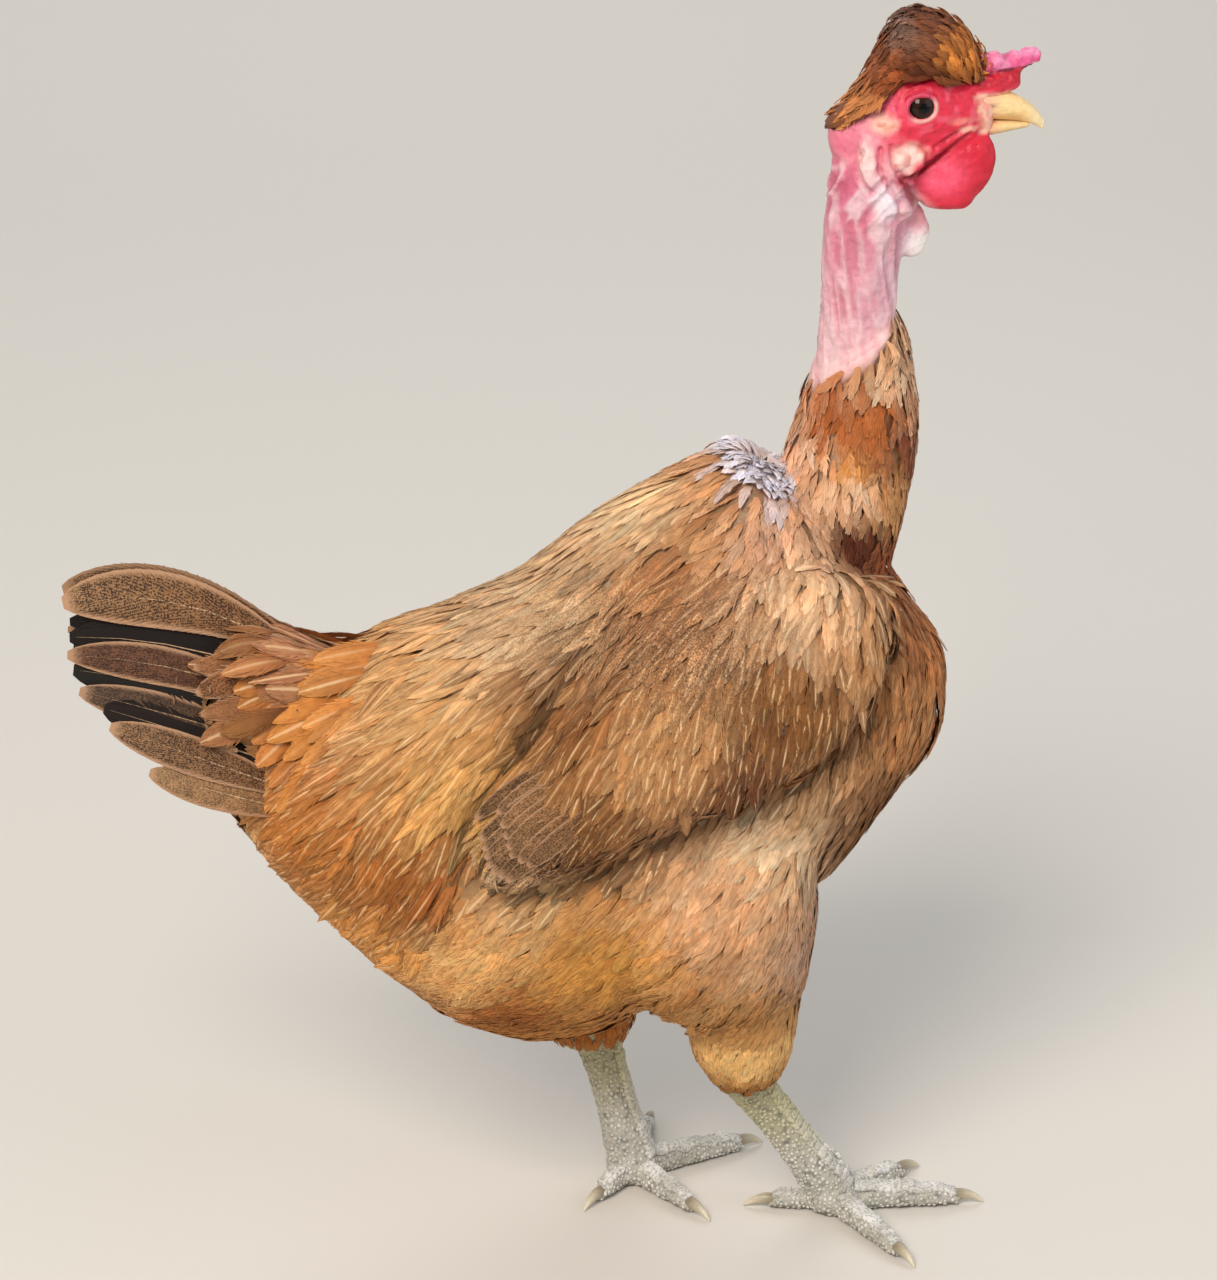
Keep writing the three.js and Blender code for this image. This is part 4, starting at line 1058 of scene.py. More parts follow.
DRAWINGS = {
    "bib": dict(fringe=7, widest=0.55, fullness=0.8, sweep_by=0.4, ragged=0.25, inner=0.15,
                sheet=0.66, rows=5, loose=0.2),
    "cape": dict(fringe=8, widest=0.55, fullness=0.7, sweep_by=0.34, ragged=0.2, inner=0.35,
                 sheet=0.78, rows=5, loose=0.15),
    "saddle": dict(fringe=8, widest=0.52, fullness=0.75, sweep_by=0.32, ragged=0.18, inner=0.35,
                   sheet=0.8, rows=5, loose=0.15),
    "wing": dict(fringe=7, widest=0.58, fullness=0.6, sweep_by=0.32, ragged=0.16, inner=0.35,
                 sheet=0.82, rows=5, loose=0.12),
    "quill": dict(fringe=8, widest=0.6, fullness=0.45, sweep_by=0.16, ragged=0.03, shaft=0.35),
    "breast": dict(fringe=8, widest=0.58, fullness=0.65, sweep_by=0.36, ragged=0.25, inner=0.3,
                   sheet=0.76, rows=5, loose=0.18),
    "collar": dict(fringe=6, widest=0.56, fullness=0.7, sweep_by=0.36, ragged=0.2, inner=0.25,
                   sheet=0.78, rows=4, loose=0.15),
    "soft": dict(fringe=7, widest=0.52, fullness=0.75, sweep_by=0.42, ragged=0.2, inner=0.3,
                 sheet=0.82, rows=5, loose=0.2, first=0.2),
    "sleek": dict(fringe=5, widest=0.52, fullness=0.75, sweep_by=0.42, ragged=0.16, inner=0.3,
                  sheet=0.84, rows=4, loose=0.15, first=0.25),
    "leg": dict(fringe=3, widest=0.55, fullness=0.7, sweep_by=0.4, ragged=0.12, inner=0.3,
                sheet=0.88, rows=4, loose=0.1),
    "down": dict(fringe=5, widest=0.55, fullness=0.9, sweep_by=0.4, ragged=0.5, inner=0.2,
                 sheet=0.85, rows=4, loose=0.3, first=0.15),
    "covert": dict(fringe=9, widest=0.6, fullness=0.55, sweep_by=0.26, ragged=0.12, sheet=0.9,
                   loose=0.08),
}
VARIANTS = 5
drawings = {sort: [feather_drawing(100 * i + v, **style) for v in range(VARIANTS)]
            for i, (sort, style) in enumerate(DRAWINGS.items())}
print({sort: len(d[0]["faces"]) for sort, d in drawings.items()})

# %% [markdown]
# Feathers are placed by throwing darts: a random point on the skin becomes a root only if no
# other root stands within the spacing of its sort. That gives the even but unruled spread of real
# feather tracts. Each root keeps its normal, the lie of the coat there and its sort.

# %% Find the roots
skin_tree = BVHTree.FromPolygons(surface.tolist(), corners.tolist())
spacing_of = np.array([SORTS[sort][0] for sort in COAT_SORT])


def random_points(points, triangles, normals, count, seed):
    """Evenly spread random points on triangles, with their normals."""
    own = np.random.default_rng(seed)
    a, b, c = (points[triangles[:, k]] for k in range(3))
    area = np.linalg.norm(np.cross(b - a, c - a), axis=1)
    pick = own.choice(len(triangles), count, p=area / area.sum())
    u, v = own.random(count), own.random(count)
    flip = u + v > 1
    u[flip], v[flip] = 1 - u[flip], 1 - v[flip]
    place = a[pick] + u[:, None] * (b - a)[pick] + v[:, None] * (c - a)[pick]
    normal = sum(normals[triangles[pick, k]] for k in range(3))
    return place, unit(normal)


def spread_out(points, spacing):
    """The points that keep their own spacing from all that were kept before them."""
    cell = float(spacing.max())
    grid, kept = {}, []
    around = [(a, b, c) for a in (-1, 0, 1) for b in (-1, 0, 1) for c in (-1, 0, 1)]
    keys = np.floor(points / cell).astype(int).tolist()
    for i, (place, (kx, ky, kz), gap) in enumerate(zip(points.tolist(), keys, spacing.tolist())):
        if not any(math.dist(place, other) < gap for dx, dy, dz in around
                   for other in grid.get((kx + dx, ky + dy, kz + dz), ())):
            grid.setdefault((kx, ky, kz), []).append(place)
            kept.append(i)
    return np.array(kept)


middle = surface[corners].mean(1)
x, _, z = middle.T
plumed_face = (collar_height(middle) < -1) & (z > 68) & (z < 374) & ~((x < -132) & (z < 196))
roots, normals = random_points(surface, corners[plumed_face], bearing, 130000, 41)
own = np.random.default_rng(42)
weight = coat_weights(roots, 4.0)
nearest = np.argmax(weight + own.normal(0, 0.03, weight.shape), axis=1)
# White down shows in one small patch at the foot of the neck, where its feathers have worn away.
gap = np.where(off_patch(roots) < 1, SORTS["down"][0], spacing_of[nearest])
keep = spread_out(roots, gap * own.uniform(0.9, 1.15, len(roots)))
roots, normals, weight, nearest = roots[keep], normals[keep], weight[keep], nearest[keep]
source_tree = BVHTree.FromPolygons(flesh_points.tolist(), flesh_triangles.tolist())
part_of = np.array([flesh_owner[source_tree.find_nearest(tuple(p))[2]] for p in roots])
PART_NAMES = FEATHERED + ["bare"] * len(bare) + ["leg"] * len(legs)
part_name = np.array([PART_NAMES[i] for i in part_of])
print("feather roots", len(roots))

# %% [markdown]
# Each feather is bent over the bird. Its line starts at the root, just under the skin, passes over
# the skin half way along and ends where the coat ends, so a tip always lies on top of the roots
# behind it. The vane curves down to both sides like a roof tile.

# %% Lay feathers along the body


def beside_wing(points):
    """Whether a point lies far enough out to be beside the folded wing, and below its top."""
    return (np.abs(points[:, 1]) > 38) & (points[:, 2] < 280)


def follow(points, directions, distance, height, normals_before):
    """Points further along the skin, lifted off it, with the normals found there. A feather that
    leaves the wing hangs straight on over its edge instead of dipping into the groove."""
    target = points + directions * distance[:, None]
    place, normal = np.empty_like(target), np.empty_like(target)
    hangs = (beyond_wing(points) < 1) & (beyond_wing(target) > 0) & beside_wing(points)
    for i, p in enumerate(target):
        found, n, _, away = skin_tree.find_nearest(tuple(p))
        share = 1.0 if away < 0.22 * distance[i] else max(0.0, 1.0 - (away / distance[i] - 0.22) * 4)
        if hangs[i]:
            share, n = 0.0, normals_before[i]
        place[i] = p + (np.array(found) - p) * share
        normal[i] = n
    return place + normal * height[:, None], normal


def smooth_normal(points):
    """Normals of the skin, blended from its points so that feathers do not jump at facets."""
    result = np.empty_like(points)
    for i, p in enumerate(points):
        _, _, face, _ = skin_tree.find_nearest(tuple(p))
        result[i] = bearing[corners[face]].sum(0)
    return unit(result)


def unwrap(points):
    """Places on a rolled-out skin: along the bird and around it."""
    u = (points[:, 0] + 215) / 390
    core_height = np.interp(points[:, 0], [-120, 0, 90, 130], [200, 190, 250, 440])
    v = np.arctan2(points[:, 1], points[:, 2] - core_height)
    return np.stack([np.clip(u, 0.01, 0.99), np.clip(v / (2 * math.pi) + 0.5, 0.01, 0.99)], 1)


def lay(name, sort, start, middle, end, n_start, n_middle, n_end, width, tint, seed,
        tip_light=1.06, root_dark=0.72, shaft_tint="#f0d8ac", drop=26.0, pepper=0.0, stroke=0.0):
    """Builds one coat piece from the lines of its feathers."""
    own = np.random.default_rng(seed)
    count = len(start)
    bend = 2 * middle - (start + end) / 2
    choice = own.integers(0, VARIANTS, count)
    length = np.linalg.norm(end - start, axis=1)
    stores = {key: [] for key in ("points", "faces", "colour", "vane", "bake", "pepper", "stroke")}
    total = 0
    unwrapped = unwrap(start)
    pepper = np.broadcast_to(pepper, count)
    stroke = np.broadcast_to(stroke, count) * own.random(count) ** 1.3
    for v in range(VARIANTS):
        pick = np.flatnonzero(choice == v)
        if not len(pick):
            continue
        d = drawings[sort][v]
        s = d["along"][None, :, None]
        p0, p1, p2 = (a[pick][:, None] for a in (start, bend, end))
        line = (1 - s) ** 2 * p0 + 2 * s * (1 - s) * p1 + s ** 2 * p2
        ahead = unit(2 * (1 - s) * (p1 - p0) + 2 * s * (p2 - p1))
        q0, q1, q2 = (a[pick][:, None] for a in (n_start, n_middle, n_end))
        up = (1 - s) ** 2 * q0 + 2 * s * (1 - s) * q1 + s ** 2 * q2
        across = unit(np.cross(up, ahead))
        up = np.cross(ahead, across)
        half = width[pick][:, None] / 2
        is_shaft = d["kind"] >= SHAFT_SIDE
        offset = np.where(is_shaft, d["across"], 0)[None] + np.where(is_shaft, 0, d["across"])[None] * half
        roll = own.normal(0, 0.05, (len(pick), 1)) * offset
        rise = d["lift"][None] + roll - offset ** 2 / (2 * drop)
        brightness = [root_dark, 0.5 + root_dark / 2, 1.0, tip_light]
        shade = np.interp(d["along"], [0, 0.4, 0.8, 1.0], brightness) * d["tone"]
        colour = tint[pick][:, None] * shade[None, :, None] * np.stack([
            np.interp(d["along"], [0.3, 1], [1.0, 1.02]), np.interp(d["along"], [0.3, 1], [0.84, 1.04]),
            np.interp(d["along"], [0.3, 1], [0.72, 1.08])], 1)[None]
        show = np.where(d["kind"] == SHAFT_RIDGE, 0.8, np.where(is_shaft, 0.5, 0.0))[None, :, None]
        colour = colour * (1 - show) + rgb(shaft_tint) * show
        n = len(d["along"])
        stores["points"].append((line + across * offset[:, :, None] + up * rise[:, :, None]).reshape(-1, 3))
        first = (np.arange(len(pick)) * n)[:, None, None] + total
        stores["faces"].append((d["faces"][None] + first).reshape(-1, 3))
        stores["colour"].append(colour.reshape(-1, 3))
        flat = np.stack([0.5 + 0.5 * d["share"] * ~is_shaft, d["along"]], 1)
        stores["vane"].append(np.tile(flat, (len(pick), 1)))
        stores["bake"].append((unwrapped[pick][:, None] + (flat[None] - 0.5) * 0.003).reshape(-1, 2))
        stores["pepper"].append(np.repeat(pepper[pick], n))
        stores["stroke"].append(np.repeat(stroke[pick], n))
        total += n * len(pick)
    points, faces = np.vstack(stores["points"]), np.vstack(stores["faces"])
    points[:, 2] = np.maximum(points[:, 2], 0.5)
    piece = mesh_piece(name, points, faces)
    paint(piece.data, "colour", np.vstack(stores["colour"]))
    for key in ("pepper", "stroke"):
        layer = piece.data.attributes.new(key, "FLOAT", "POINT")
        layer.data.foreach_set("value", np.concatenate(stores[key]).astype(np.float32))
    for map_name, key in (("OFBake", "bake"), ("vane", "vane")):
        layer = piece.data.uv_layers.new(name=map_name)
        layer.data.foreach_set("uv", np.vstack(stores[key])[faces.ravel()].astype(np.float32).ravel())
    print(name, count, "feathers", len(faces), "triangles, longest", round(float(length.max()), 1), "mm")
    return piece


def tinted(weight, seed, spread):
    """A tint for each feather: the place's own, a little lighter, darker or redder."""
    own = np.random.default_rng(seed)
    tint = weight @ COAT_TINT
    bright = 1 + own.normal(0, spread, (len(tint), 1)) + 2.2 * spread * (own.random((len(tint), 1)) < 0.1)
    warm = own.normal(0, 0.05, (len(tint), 1)) * np.array([[0.3, -0.5, -1.2]])
    return np.clip(tint * np.clip(bright, 0.6, 1.5) * (1 + warm), 0.01, 1)


# %% [markdown]
# The pieces of the coat follow the tracts of a real bird. The sort at each root gives length and
# width; the part it stands on decides which piece it belongs to.

# %% The body coat
lie = lie_at(roots, normals, weight)
on_drumstick = np.char.startswith(part_name, "drumstick")
DOWNWARD = np.array([-0.08, 0, -1.0])
down_lie = unit(DOWNWARD - (normals @ DOWNWARD)[:, None] * normals)
lie = np.where(on_drumstick[:, None], down_lie, lie)
sort_name = np.array([COAT_SORT[i] for i in nearest])
sort_name[on_drumstick] = "leg"
on_tail = part_name == "tail_coverts"
sort_name[on_tail] = np.where(roots[on_tail][:, 2] > 204, "covert", "breast")
sort_name[part_name == "bib"] = "bib"
patch_share = off_patch(roots)
sort_name[(patch_share < 0.95) & (part_name != "bib")] = "down"
own = np.random.default_rng(43)
unruly = np.where(sort_name == "down", 1.6, np.where(sort_name == "bib", 1.8, 1.0))
yaw = own.normal(0, 0.15, len(roots)) * unruly
lie = lie * np.cos(yaw)[:, None] + np.cross(normals, lie) * np.sin(yaw)[:, None]
white = (1 - ramp(patch_share, 0.85, 1.1))[:, None]
normals = smooth_normal(roots)


def pepper_at(points):
    """How peppered the feathers are: at the wing's end, above its crease and over the tail."""
    flat = folded(points)
    pepper = 1.0 * near(flat, [-36, 74, 188], [22, 24, 20]) + 0.5 * near(flat, [22, 66, 262], [30, 30, 24])
    pepper += 0.5 * near(flat, [-20, 40, 262], [46, 40, 22]) + 0.2 * near(flat, [40, 70, 235], [40, 40, 36])
    return np.clip(pepper + 0.9 * ramp(-flat[:, 0], 138, 150) * ramp(flat[:, 2], 208, 216), 0, 1)


def coat_piece(name, sort, chosen, slot, material, seed, spread=0.12, rise=0.75, close=False, **looks):
    """One piece of the coat: the chosen roots, all of one sort."""
    pick = np.flatnonzero(chosen & (sort_name == sort))
    own = np.random.default_rng(seed)
    _, length, width, depth = SORTS[sort]
    length = length * own.uniform(0.85, 1.15, len(pick))
    width = width * own.uniform(0.88, 1.15, len(pick))
    height = depth * own.uniform(0.8, 1.05, len(pick))
    root, toward, out = roots[pick], lie[pick], normals[pick]
    far = beyond_wing(root + toward * length[:, None])
    over = (beyond_wing(root) < 0) & (far > 2) & beside_wing(root)
    length = np.where(over, np.maximum(length - (far - 2), 0.5 * length), length)
    start = root - out * 0.8
    middle, n_middle = follow(root, toward, length * 0.5, height * rise, out)
    onward = middle - root
    onward = unit(onward - np.sum(onward * n_middle, axis=1)[:, None] * n_middle)
    low_middle = middle - n_middle * height[:, None] * rise
    end, n_end = follow(low_middle, onward, length * 0.5, height, n_middle)
    if close:
        held = np.array([skin_tree.find_nearest(tuple(p))[3] for p in end]) < depth + 1.2
        pick, root, toward, out, width, length = (v[held] for v in (pick, root, toward, out, width, length))
        start, middle, end, n_middle, n_end = (v[held] for v in (start, middle, end, n_middle, n_end))
    tint = tinted(weight[pick], seed, spread) * (1 - white[pick]) + rgb("#eceaf3") * white[pick]
    locks = soft_noise(np.stack([root @ [0.8, 0, -0.6], root[:, 1], root @ [-0.14, 0, -0.18]], 1), 5.0, 77)
    tint = tint * (1 + 0.22 * locks[:, None] * [0.8, 1.0, 1.25])
    # Feathers whose middle falls in the groove below the wing's edge are darkened: painted shade of the
    # wing's overhang.
    groove_shade = wing_groove(root + toward * (length * 0.5)[:, None]) * (beyond_wing(root) > 0)
    tint = tint * (1 - 0.65 * groove_shade[:, None])
    piece = lay(name, sort, start, middle, end, out, n_middle, n_end, width, tint, seed,
                pepper=pepper_at(root + toward * length[:, None] * 0.7), **looks)
    enter_piece(piece, material, slot)


# %% [markdown]
# Feather keratin is matt and fibrous. Barbs run from the shaft to the rim at a slant, and here
# they are drawn as fine slanting ridges from the feather's own map: across it and along it. The
# bare shaft is paler than its vane and shows as a light stroke. Some feathers are peppered with
# black, in flecks of under a millimetre that leave the rim clean.

# %% Matt feather keratin
feather_stuff, tree = new_material("matt_feather_keratin")
here = put(tree, "ShaderNodeTexCoord").outputs["Object"]
stored = put(tree, "ShaderNodeAttribute", attribute_name="colour")
fleck = put(tree, "ShaderNodeAttribute", attribute_name="pepper")
pale_shaft = put(tree, "ShaderNodeAttribute", attribute_name="stroke")
vane = put(tree, "ShaderNodeUVMap", uv_map="vane")
share = put(tree, "ShaderNodeSeparateXYZ", {"Vector": vane})
off_middle = put(tree, "ShaderNodeMath", {0: share.outputs["X"], 1: 0.5}, operation="SUBTRACT")
sideways = put(tree, "ShaderNodeMath", {0: off_middle}, operation="ABSOLUTE")
slant = put(tree, "ShaderNodeMath", {
    0: sideways, 1: -0.72, 2: share.outputs["Y"]}, operation="MULTIPLY_ADD")
turns = put(tree, "ShaderNodeMath", {0: slant, 1: 150.0}, operation="MULTIPLY")
barbs = put(tree, "ShaderNodeMath", {0: turns}, operation="SINE")
barb_shade = put(tree, "ShaderNodeMapRange", {
    "Value": barbs, "From Min": -1.0, "To Min": 0.86, "To Max": 1.06})
patchy = put(tree, "ShaderNodeTexNoise", {"Vector": here, "Scale": 300.0, "Detail": 3.0})
patches = put(tree, "ShaderNodeMapRange", {
    "Value": patchy, "From Min": 0.3, "From Max": 0.7, "To Min": 0.86, "To Max": 1.12})
shade = put(tree, "ShaderNodeMath", {0: barb_shade, 1: patches}, operation="MULTIPLY")
tone = put(tree, "ShaderNodeMix", {
    "Factor": 1.0, "A": stored, "B": shade}, data_type="RGBA", blend_type="MULTIPLY")
thin = put(tree, "ShaderNodeMapRange", {
    "Value": sideways, "From Min": 0.02, "From Max": 0.1, "To Min": 1.0, "To Max": 0.0})
showing = put(tree, "ShaderNodeMapRange", {"Value": share.outputs["Y"], "From Min": 0.15, "From Max": 0.55})
stroke = put(tree, "ShaderNodeMath", {0: thin, 1: showing}, operation="MULTIPLY")
stroke_share = put(tree, "ShaderNodeMath", {
    0: stroke, 1: pale_shaft.outputs["Fac"]}, operation="MULTIPLY", use_clamp=True)
with_shaft = put(tree, "ShaderNodeMix", {
    "Factor": stroke_share, "A": tone, "B": linear("#f3d2a2")}, data_type="RGBA")
rim_side = put(tree, "ShaderNodeMapRange", {"Value": sideways, "From Min": 0.36, "From Max": 0.45})
rim_end = put(tree, "ShaderNodeMapRange", {"Value": share.outputs["Y"], "From Min": 0.92, "From Max": 0.97})
rim = put(tree, "ShaderNodeMath", {0: rim_side, 1: rim_end}, operation="MAXIMUM")
rim_share = put(tree, "ShaderNodeMath", {0: rim, 1: fleck.outputs["Fac"]}, operation="MULTIPLY")
pale_rim = put(tree, "ShaderNodeMix", {
    "Factor": rim_share, "A": with_shaft, "B": linear("#b48c6c")}, data_type="RGBA")
grit = put(tree, "ShaderNodeTexNoise", {"Vector": here, "Scale": 1500.0, "Detail": 1.0})
cluster = put(tree, "ShaderNodeTexNoise", {"Vector": here, "Scale": 160.0})
drift = put(tree, "ShaderNodeMath", {0: cluster, 1: 0.3, 2: grit}, operation="MULTIPLY_ADD")
rows = put(tree, "ShaderNodeMath", {0: barbs, 1: 0.09, 2: drift}, operation="MULTIPLY_ADD")
flecks = put(tree, "ShaderNodeMapRange", {"Value": rows, "From Min": 0.6, "From Max": 0.72})
off_rim = put(tree, "ShaderNodeMath", {0: 1.0, 1: rim}, operation="SUBTRACT")
rimmed = put(tree, "ShaderNodeMath", {0: flecks, 1: off_rim}, operation="MULTIPLY")
dark = put(tree, "ShaderNodeMath", {0: rimmed, 1: fleck.outputs["Fac"]}, operation="MULTIPLY")
final = put(tree, "ShaderNodeMix", {
    "Factor": dark, "A": pale_rim, "B": linear("#2b1a10")}, data_type="RGBA")
ridges = put(tree, "ShaderNodeBump", {"Height": barbs, "Strength": 0.3, "Distance": 0.0002})
keratin = put(tree, "ShaderNodeBsdfPrincipled", {
    "Base Color": final, "Roughness": 0.75, "Specular IOR Level": 0.25,
    "Sheen Weight": 0.06, "Sheen Roughness": 0.5, "Normal": ridges})
end_material(tree, keratin)

# %% [markdown]
# The coat is laid one tract at a time. In the soft tracts the roots of the feathers are hardly
# darker than the tips.

# %% Feather the body, tract by tract
everywhere = np.ones(len(roots), bool)
right_half = roots[:, 1] < 0
coat_piece("collar_feathers", "collar", everywhere, "buff", feather_stuff, 65, root_dark=0.85, close=True)
coat_piece("bib_feathers", "bib", everywhere, "rust", feather_stuff, 51, root_dark=0.85, spread=0.08,
           close=True)
coat_piece("cape_feathers", "cape", everywhere, "buff", feather_stuff, 52, root_dark=0.8, stroke=0.6)
halves = {"right": right_half, "left": ~right_half}
for seed, (half_name, half) in enumerate(halves.items(), 53):
    coat_piece(f"saddle_feathers_{half_name}", "saddle", half, "rust", feather_stuff, seed, root_dark=0.8,
               stroke=0.7)
for seed, (half_name, half) in enumerate(halves.items(), 55):
    coat_piece(f"wing_coverts_{half_name}", "wing", half, "buff", feather_stuff, seed, root_dark=0.8,
               stroke=0.8)
coat_piece("breast_feathers", "breast", everywhere, "rust", feather_stuff, 58, root_dark=0.8, stroke=0.3)
for seed, (half_name, half) in enumerate(halves.items(), 59):
    coat_piece(f"thigh_and_belly_feathers_{half_name}", "soft", half, "buff", feather_stuff, seed,
               root_dark=0.92, spread=0.07, rise=0.92, drop=60.0, close=True)
coat_piece("sleek_feathers", "sleek", everywhere, "buff", feather_stuff, 64, root_dark=0.92, spread=0.07,
           rise=0.95, drop=60.0, close=True)
coat_piece("leg_feathers", "leg", everywhere, "rust", feather_stuff, 61, root_dark=1.0, tip_light=1.0,
           spread=0.05, rise=0.95, close=True)
coat_piece("down", "down", everywhere, "buff", feather_stuff, 62, root_dark=0.97, tip_light=1.02,
           spread=0.03)
coat_piece("small_tail_coverts", "covert", everywhere, "rust", feather_stuff, 63, stroke=0.5)

# %% [markdown]
# ## Crest
# The crest is a loose cap of plumes. They rise at the forehead, sweep back over the crown and fall
# toward the nape. They lie in three layers over a dark core of the crest's own shape, a little
# smaller, which stands for the roots that never show.

# %% Crest plumes
DRAWINGS["plume"] = dict(fringe=9, widest=0.5, fullness=0.8, sweep_by=0.45, ragged=0.3, inner=0.12,
                         sheet=0.6, loose=0.25, first=0.15)
drawings["plume"] = [feather_drawing(900 + v, **DRAWINGS["plume"]) for v in range(VARIANTS)]
crest_points, crest_triangles = merged_copy("crest")
crest_points[:, 0] += 5.0 * ramp(116 - crest_points[:, 0], 0, 22) * ramp(crest_points[:, 2], 438, 452)
crest_points[:, 2] -= 1.8 * ramp(crest_points[:, 2], 470, 482)
crest_normals = outward(crest_points, crest_triangles)
crest_core = crest_points - crest_normals * 3.2
crest_tree = BVHTree.FromPolygons(crest_points.tolist(), crest_triangles.tolist())
spots, spot_normals = random_points(crest_points, crest_triangles, crest_normals, 9000, 71)
keep = spread_out(spots, np.full(len(spots), 1.9))
spots, spot_normals = spots[keep], spot_normals[keep]
low_edge = np.interp(spots[:, 0], [84, 93, 100, 110, 120, 128, 136], [442, 451, 455, 457, 456.5, 453, 455])
shown = (spots[:, 2] > low_edge) & (spot_normals[:, 2] > -0.6) & (spots[:, 0] > 86)
spots, spot_normals = spots[shown], spot_normals[shown]
own = np.random.default_rng(72)
climb = np.interp(spots[:, 0], [84, 96, 106, 116, 126, 134], [-1.4, -0.9, -0.1, 0.35, 0.9, 1.6])
flow = np.stack([np.full(len(spots), -1.0), 0.25 * np.sign(spots[:, 1]), climb], 1)
flow += own.normal(0, 0.16, flow.shape)
flow = unit(flow - np.sum(flow * spot_normals, axis=1)[:, None] * spot_normals)
reach = own.uniform(12, 18, len(spots)) * np.interp(spots[:, 0], [84, 96], [0.45, 1.0])
layer = own.choice([0.2, 0.9, 1.8], len(spots), p=[0.4, 0.35, 0.25])


def along_crest(points, direction, distance, lift):
    """Places further along the crest's surface, lifted off it, and the normals there."""
    places, normals_there = np.empty_like(points), np.empty_like(points)
    for i, p in enumerate(points + direction * distance[:, None]):
        found, n, _, _ = crest_tree.find_nearest(tuple(p))
        places[i], normals_there[i] = np.array(found) + np.array(n) * lift[i], n
    return places, normals_there


start = spots - spot_normals * 1.8 - flow * 2
middle, n_middle = along_crest(spots, flow, reach * 0.45, layer)
end, n_end = along_crest(middle, unit(middle - start), reach * 0.5, layer + 0.6)
CREST = [((130, 8, 462), "#dd944a"), ((122, 12, 470), "#d88a3e"), ((112, 8, 480), "#8a5236"),
         ((102, 8, 478), "#8c6c5c"), ((96, 8, 462), "#965632"), ((86, 8, 444), "#cf8a50"),
         ((110, 14, 462), "#693519"), ((101, 12, 458), "#a3572a"), ((122, 12, 459), "#cf7a34")]
crest_places = np.array([place for place, _ in CREST], float)
crest_tints = np.array([rgb(hue) for _, hue in CREST])
away = np.linalg.norm(folded(end)[:, None] - crest_places, axis=2) ** -4.5
tint = (away / away.sum(1, keepdims=True)) @ crest_tints
tint = tint * own.choice([0.6, 0.85, 1.0, 1.3], (len(spots), 1), p=[0.1, 0.3, 0.36, 0.24])
crest = lay("crest_plumes", "plume", start, middle, end, spot_normals, n_middle, n_end,
            own.uniform(4.0, 6.5, len(spots)), tint, 73, root_dark=0.85, drop=10.0)
enter_piece(crest, feather_stuff, "brown")
core = mesh_piece("crest_core", crest_core, crest_triangles)
paint(core.data, "colour", np.tile(rgb("#7d4a2a"), (len(crest_core), 1)))
for key in ("pepper", "stroke"):
    core.data.attributes.new(key, "FLOAT", "POINT")
core.data.uv_layers.new(name="vane")
enter_piece(core, feather_stuff, "brown", "crest")

# %% [markdown]
# ## Tail
# A hen's tail is a folded fan of stiff quills, here eight to a side. The solid model carries the
# four of each side that show most; the others lie between them. The quills are long, with blunt
# round ends.

# %% Tail quills
DRAWINGS["tail"] = dict(fringe=26, widest=0.62, fullness=0.55, sweep_by=0.08, ragged=0.01,
                        inner=0.6, sheet=0.99, rows=12, shaft=0.45, first=0.1)
drawings["tail"] = [feather_drawing(950 + v, **DRAWINGS["tail"]) for v in range(VARIANTS)]
# Root, tip, arch, half width, turn in degrees, tint and pepper of each quill from the ridge down. The quills
# that lie between the ones shown most are tinted near black: painted shade of the gaps inside the folded
# fan.
QUILLS = [
    ([-116, 4, 240], [-206, 6.5, 267], 11, 11, 14, "#96724f", 0.9),
    ([-116, 6.5, 229], [-204, 8, 254], 6, 9, 17, "#170e0a", 0.0),
    ([-116, 10, 221], [-205, 13, 249], 5, 7.5, 20, "#6d4a35", 0.85),
    ([-116, 12.5, 214], [-203, 13, 243], 4, 10, 22, "#191510", 0.0),
    ([-116, 15.6, 205], [-201, 18, 236.5], 1, 7.5, 24, "#5d4938", 0.8),
    ([-116, 18.5, 199], [-192, 20, 230], 0.5, 9, 26, "#1d130d", 0.0),
    ([-114, 21.5, 190], [-190, 28, 226], 0, 7.5, 28, "#93704f", 0.85),
    ([-112, 24, 184], [-176, 31, 208], -1, 7, 30, "#a8835c", 0.6),
]
laid = []
for side in (RIGHT, LEFT):
    mirror = [1, side, 1]
    for root, tip, arch, half, turn, hue, peppered in QUILLS:
        root, tip, turn = np.array(root, float), np.array(tip, float), math.radians(turn)
        laid.append((root * mirror, ((root + tip) / 2 + [0, 0, arch]) * mirror, tip * mirror,
                     [0, side * math.cos(turn), math.sin(turn)], 2 * half, rgb(hue), peppered))
start, middle, end, n_vane, width, tint, fleck = map(np.array, zip(*laid))
tail = lay("tail_quills", "tail", start, middle, end, n_vane, n_vane, n_vane, width, tint, 81,
           shaft_tint="#dcb88e", root_dark=0.8, tip_light=1.15, drop=60.0, pepper=fleck)
enter_piece(tail, feather_stuff, "peppered",
            *[f"tail_feather_{name}_{i}" for name in SIDES for i in (1, 2, 3, 4)])

# %% [markdown]
# The tail's coverts lie like tiles over the feet of the quills. The largest reach a third of the
# way along the tail and share its peppered pattern; those nearer the rump are plain orange with
# pale shafts.

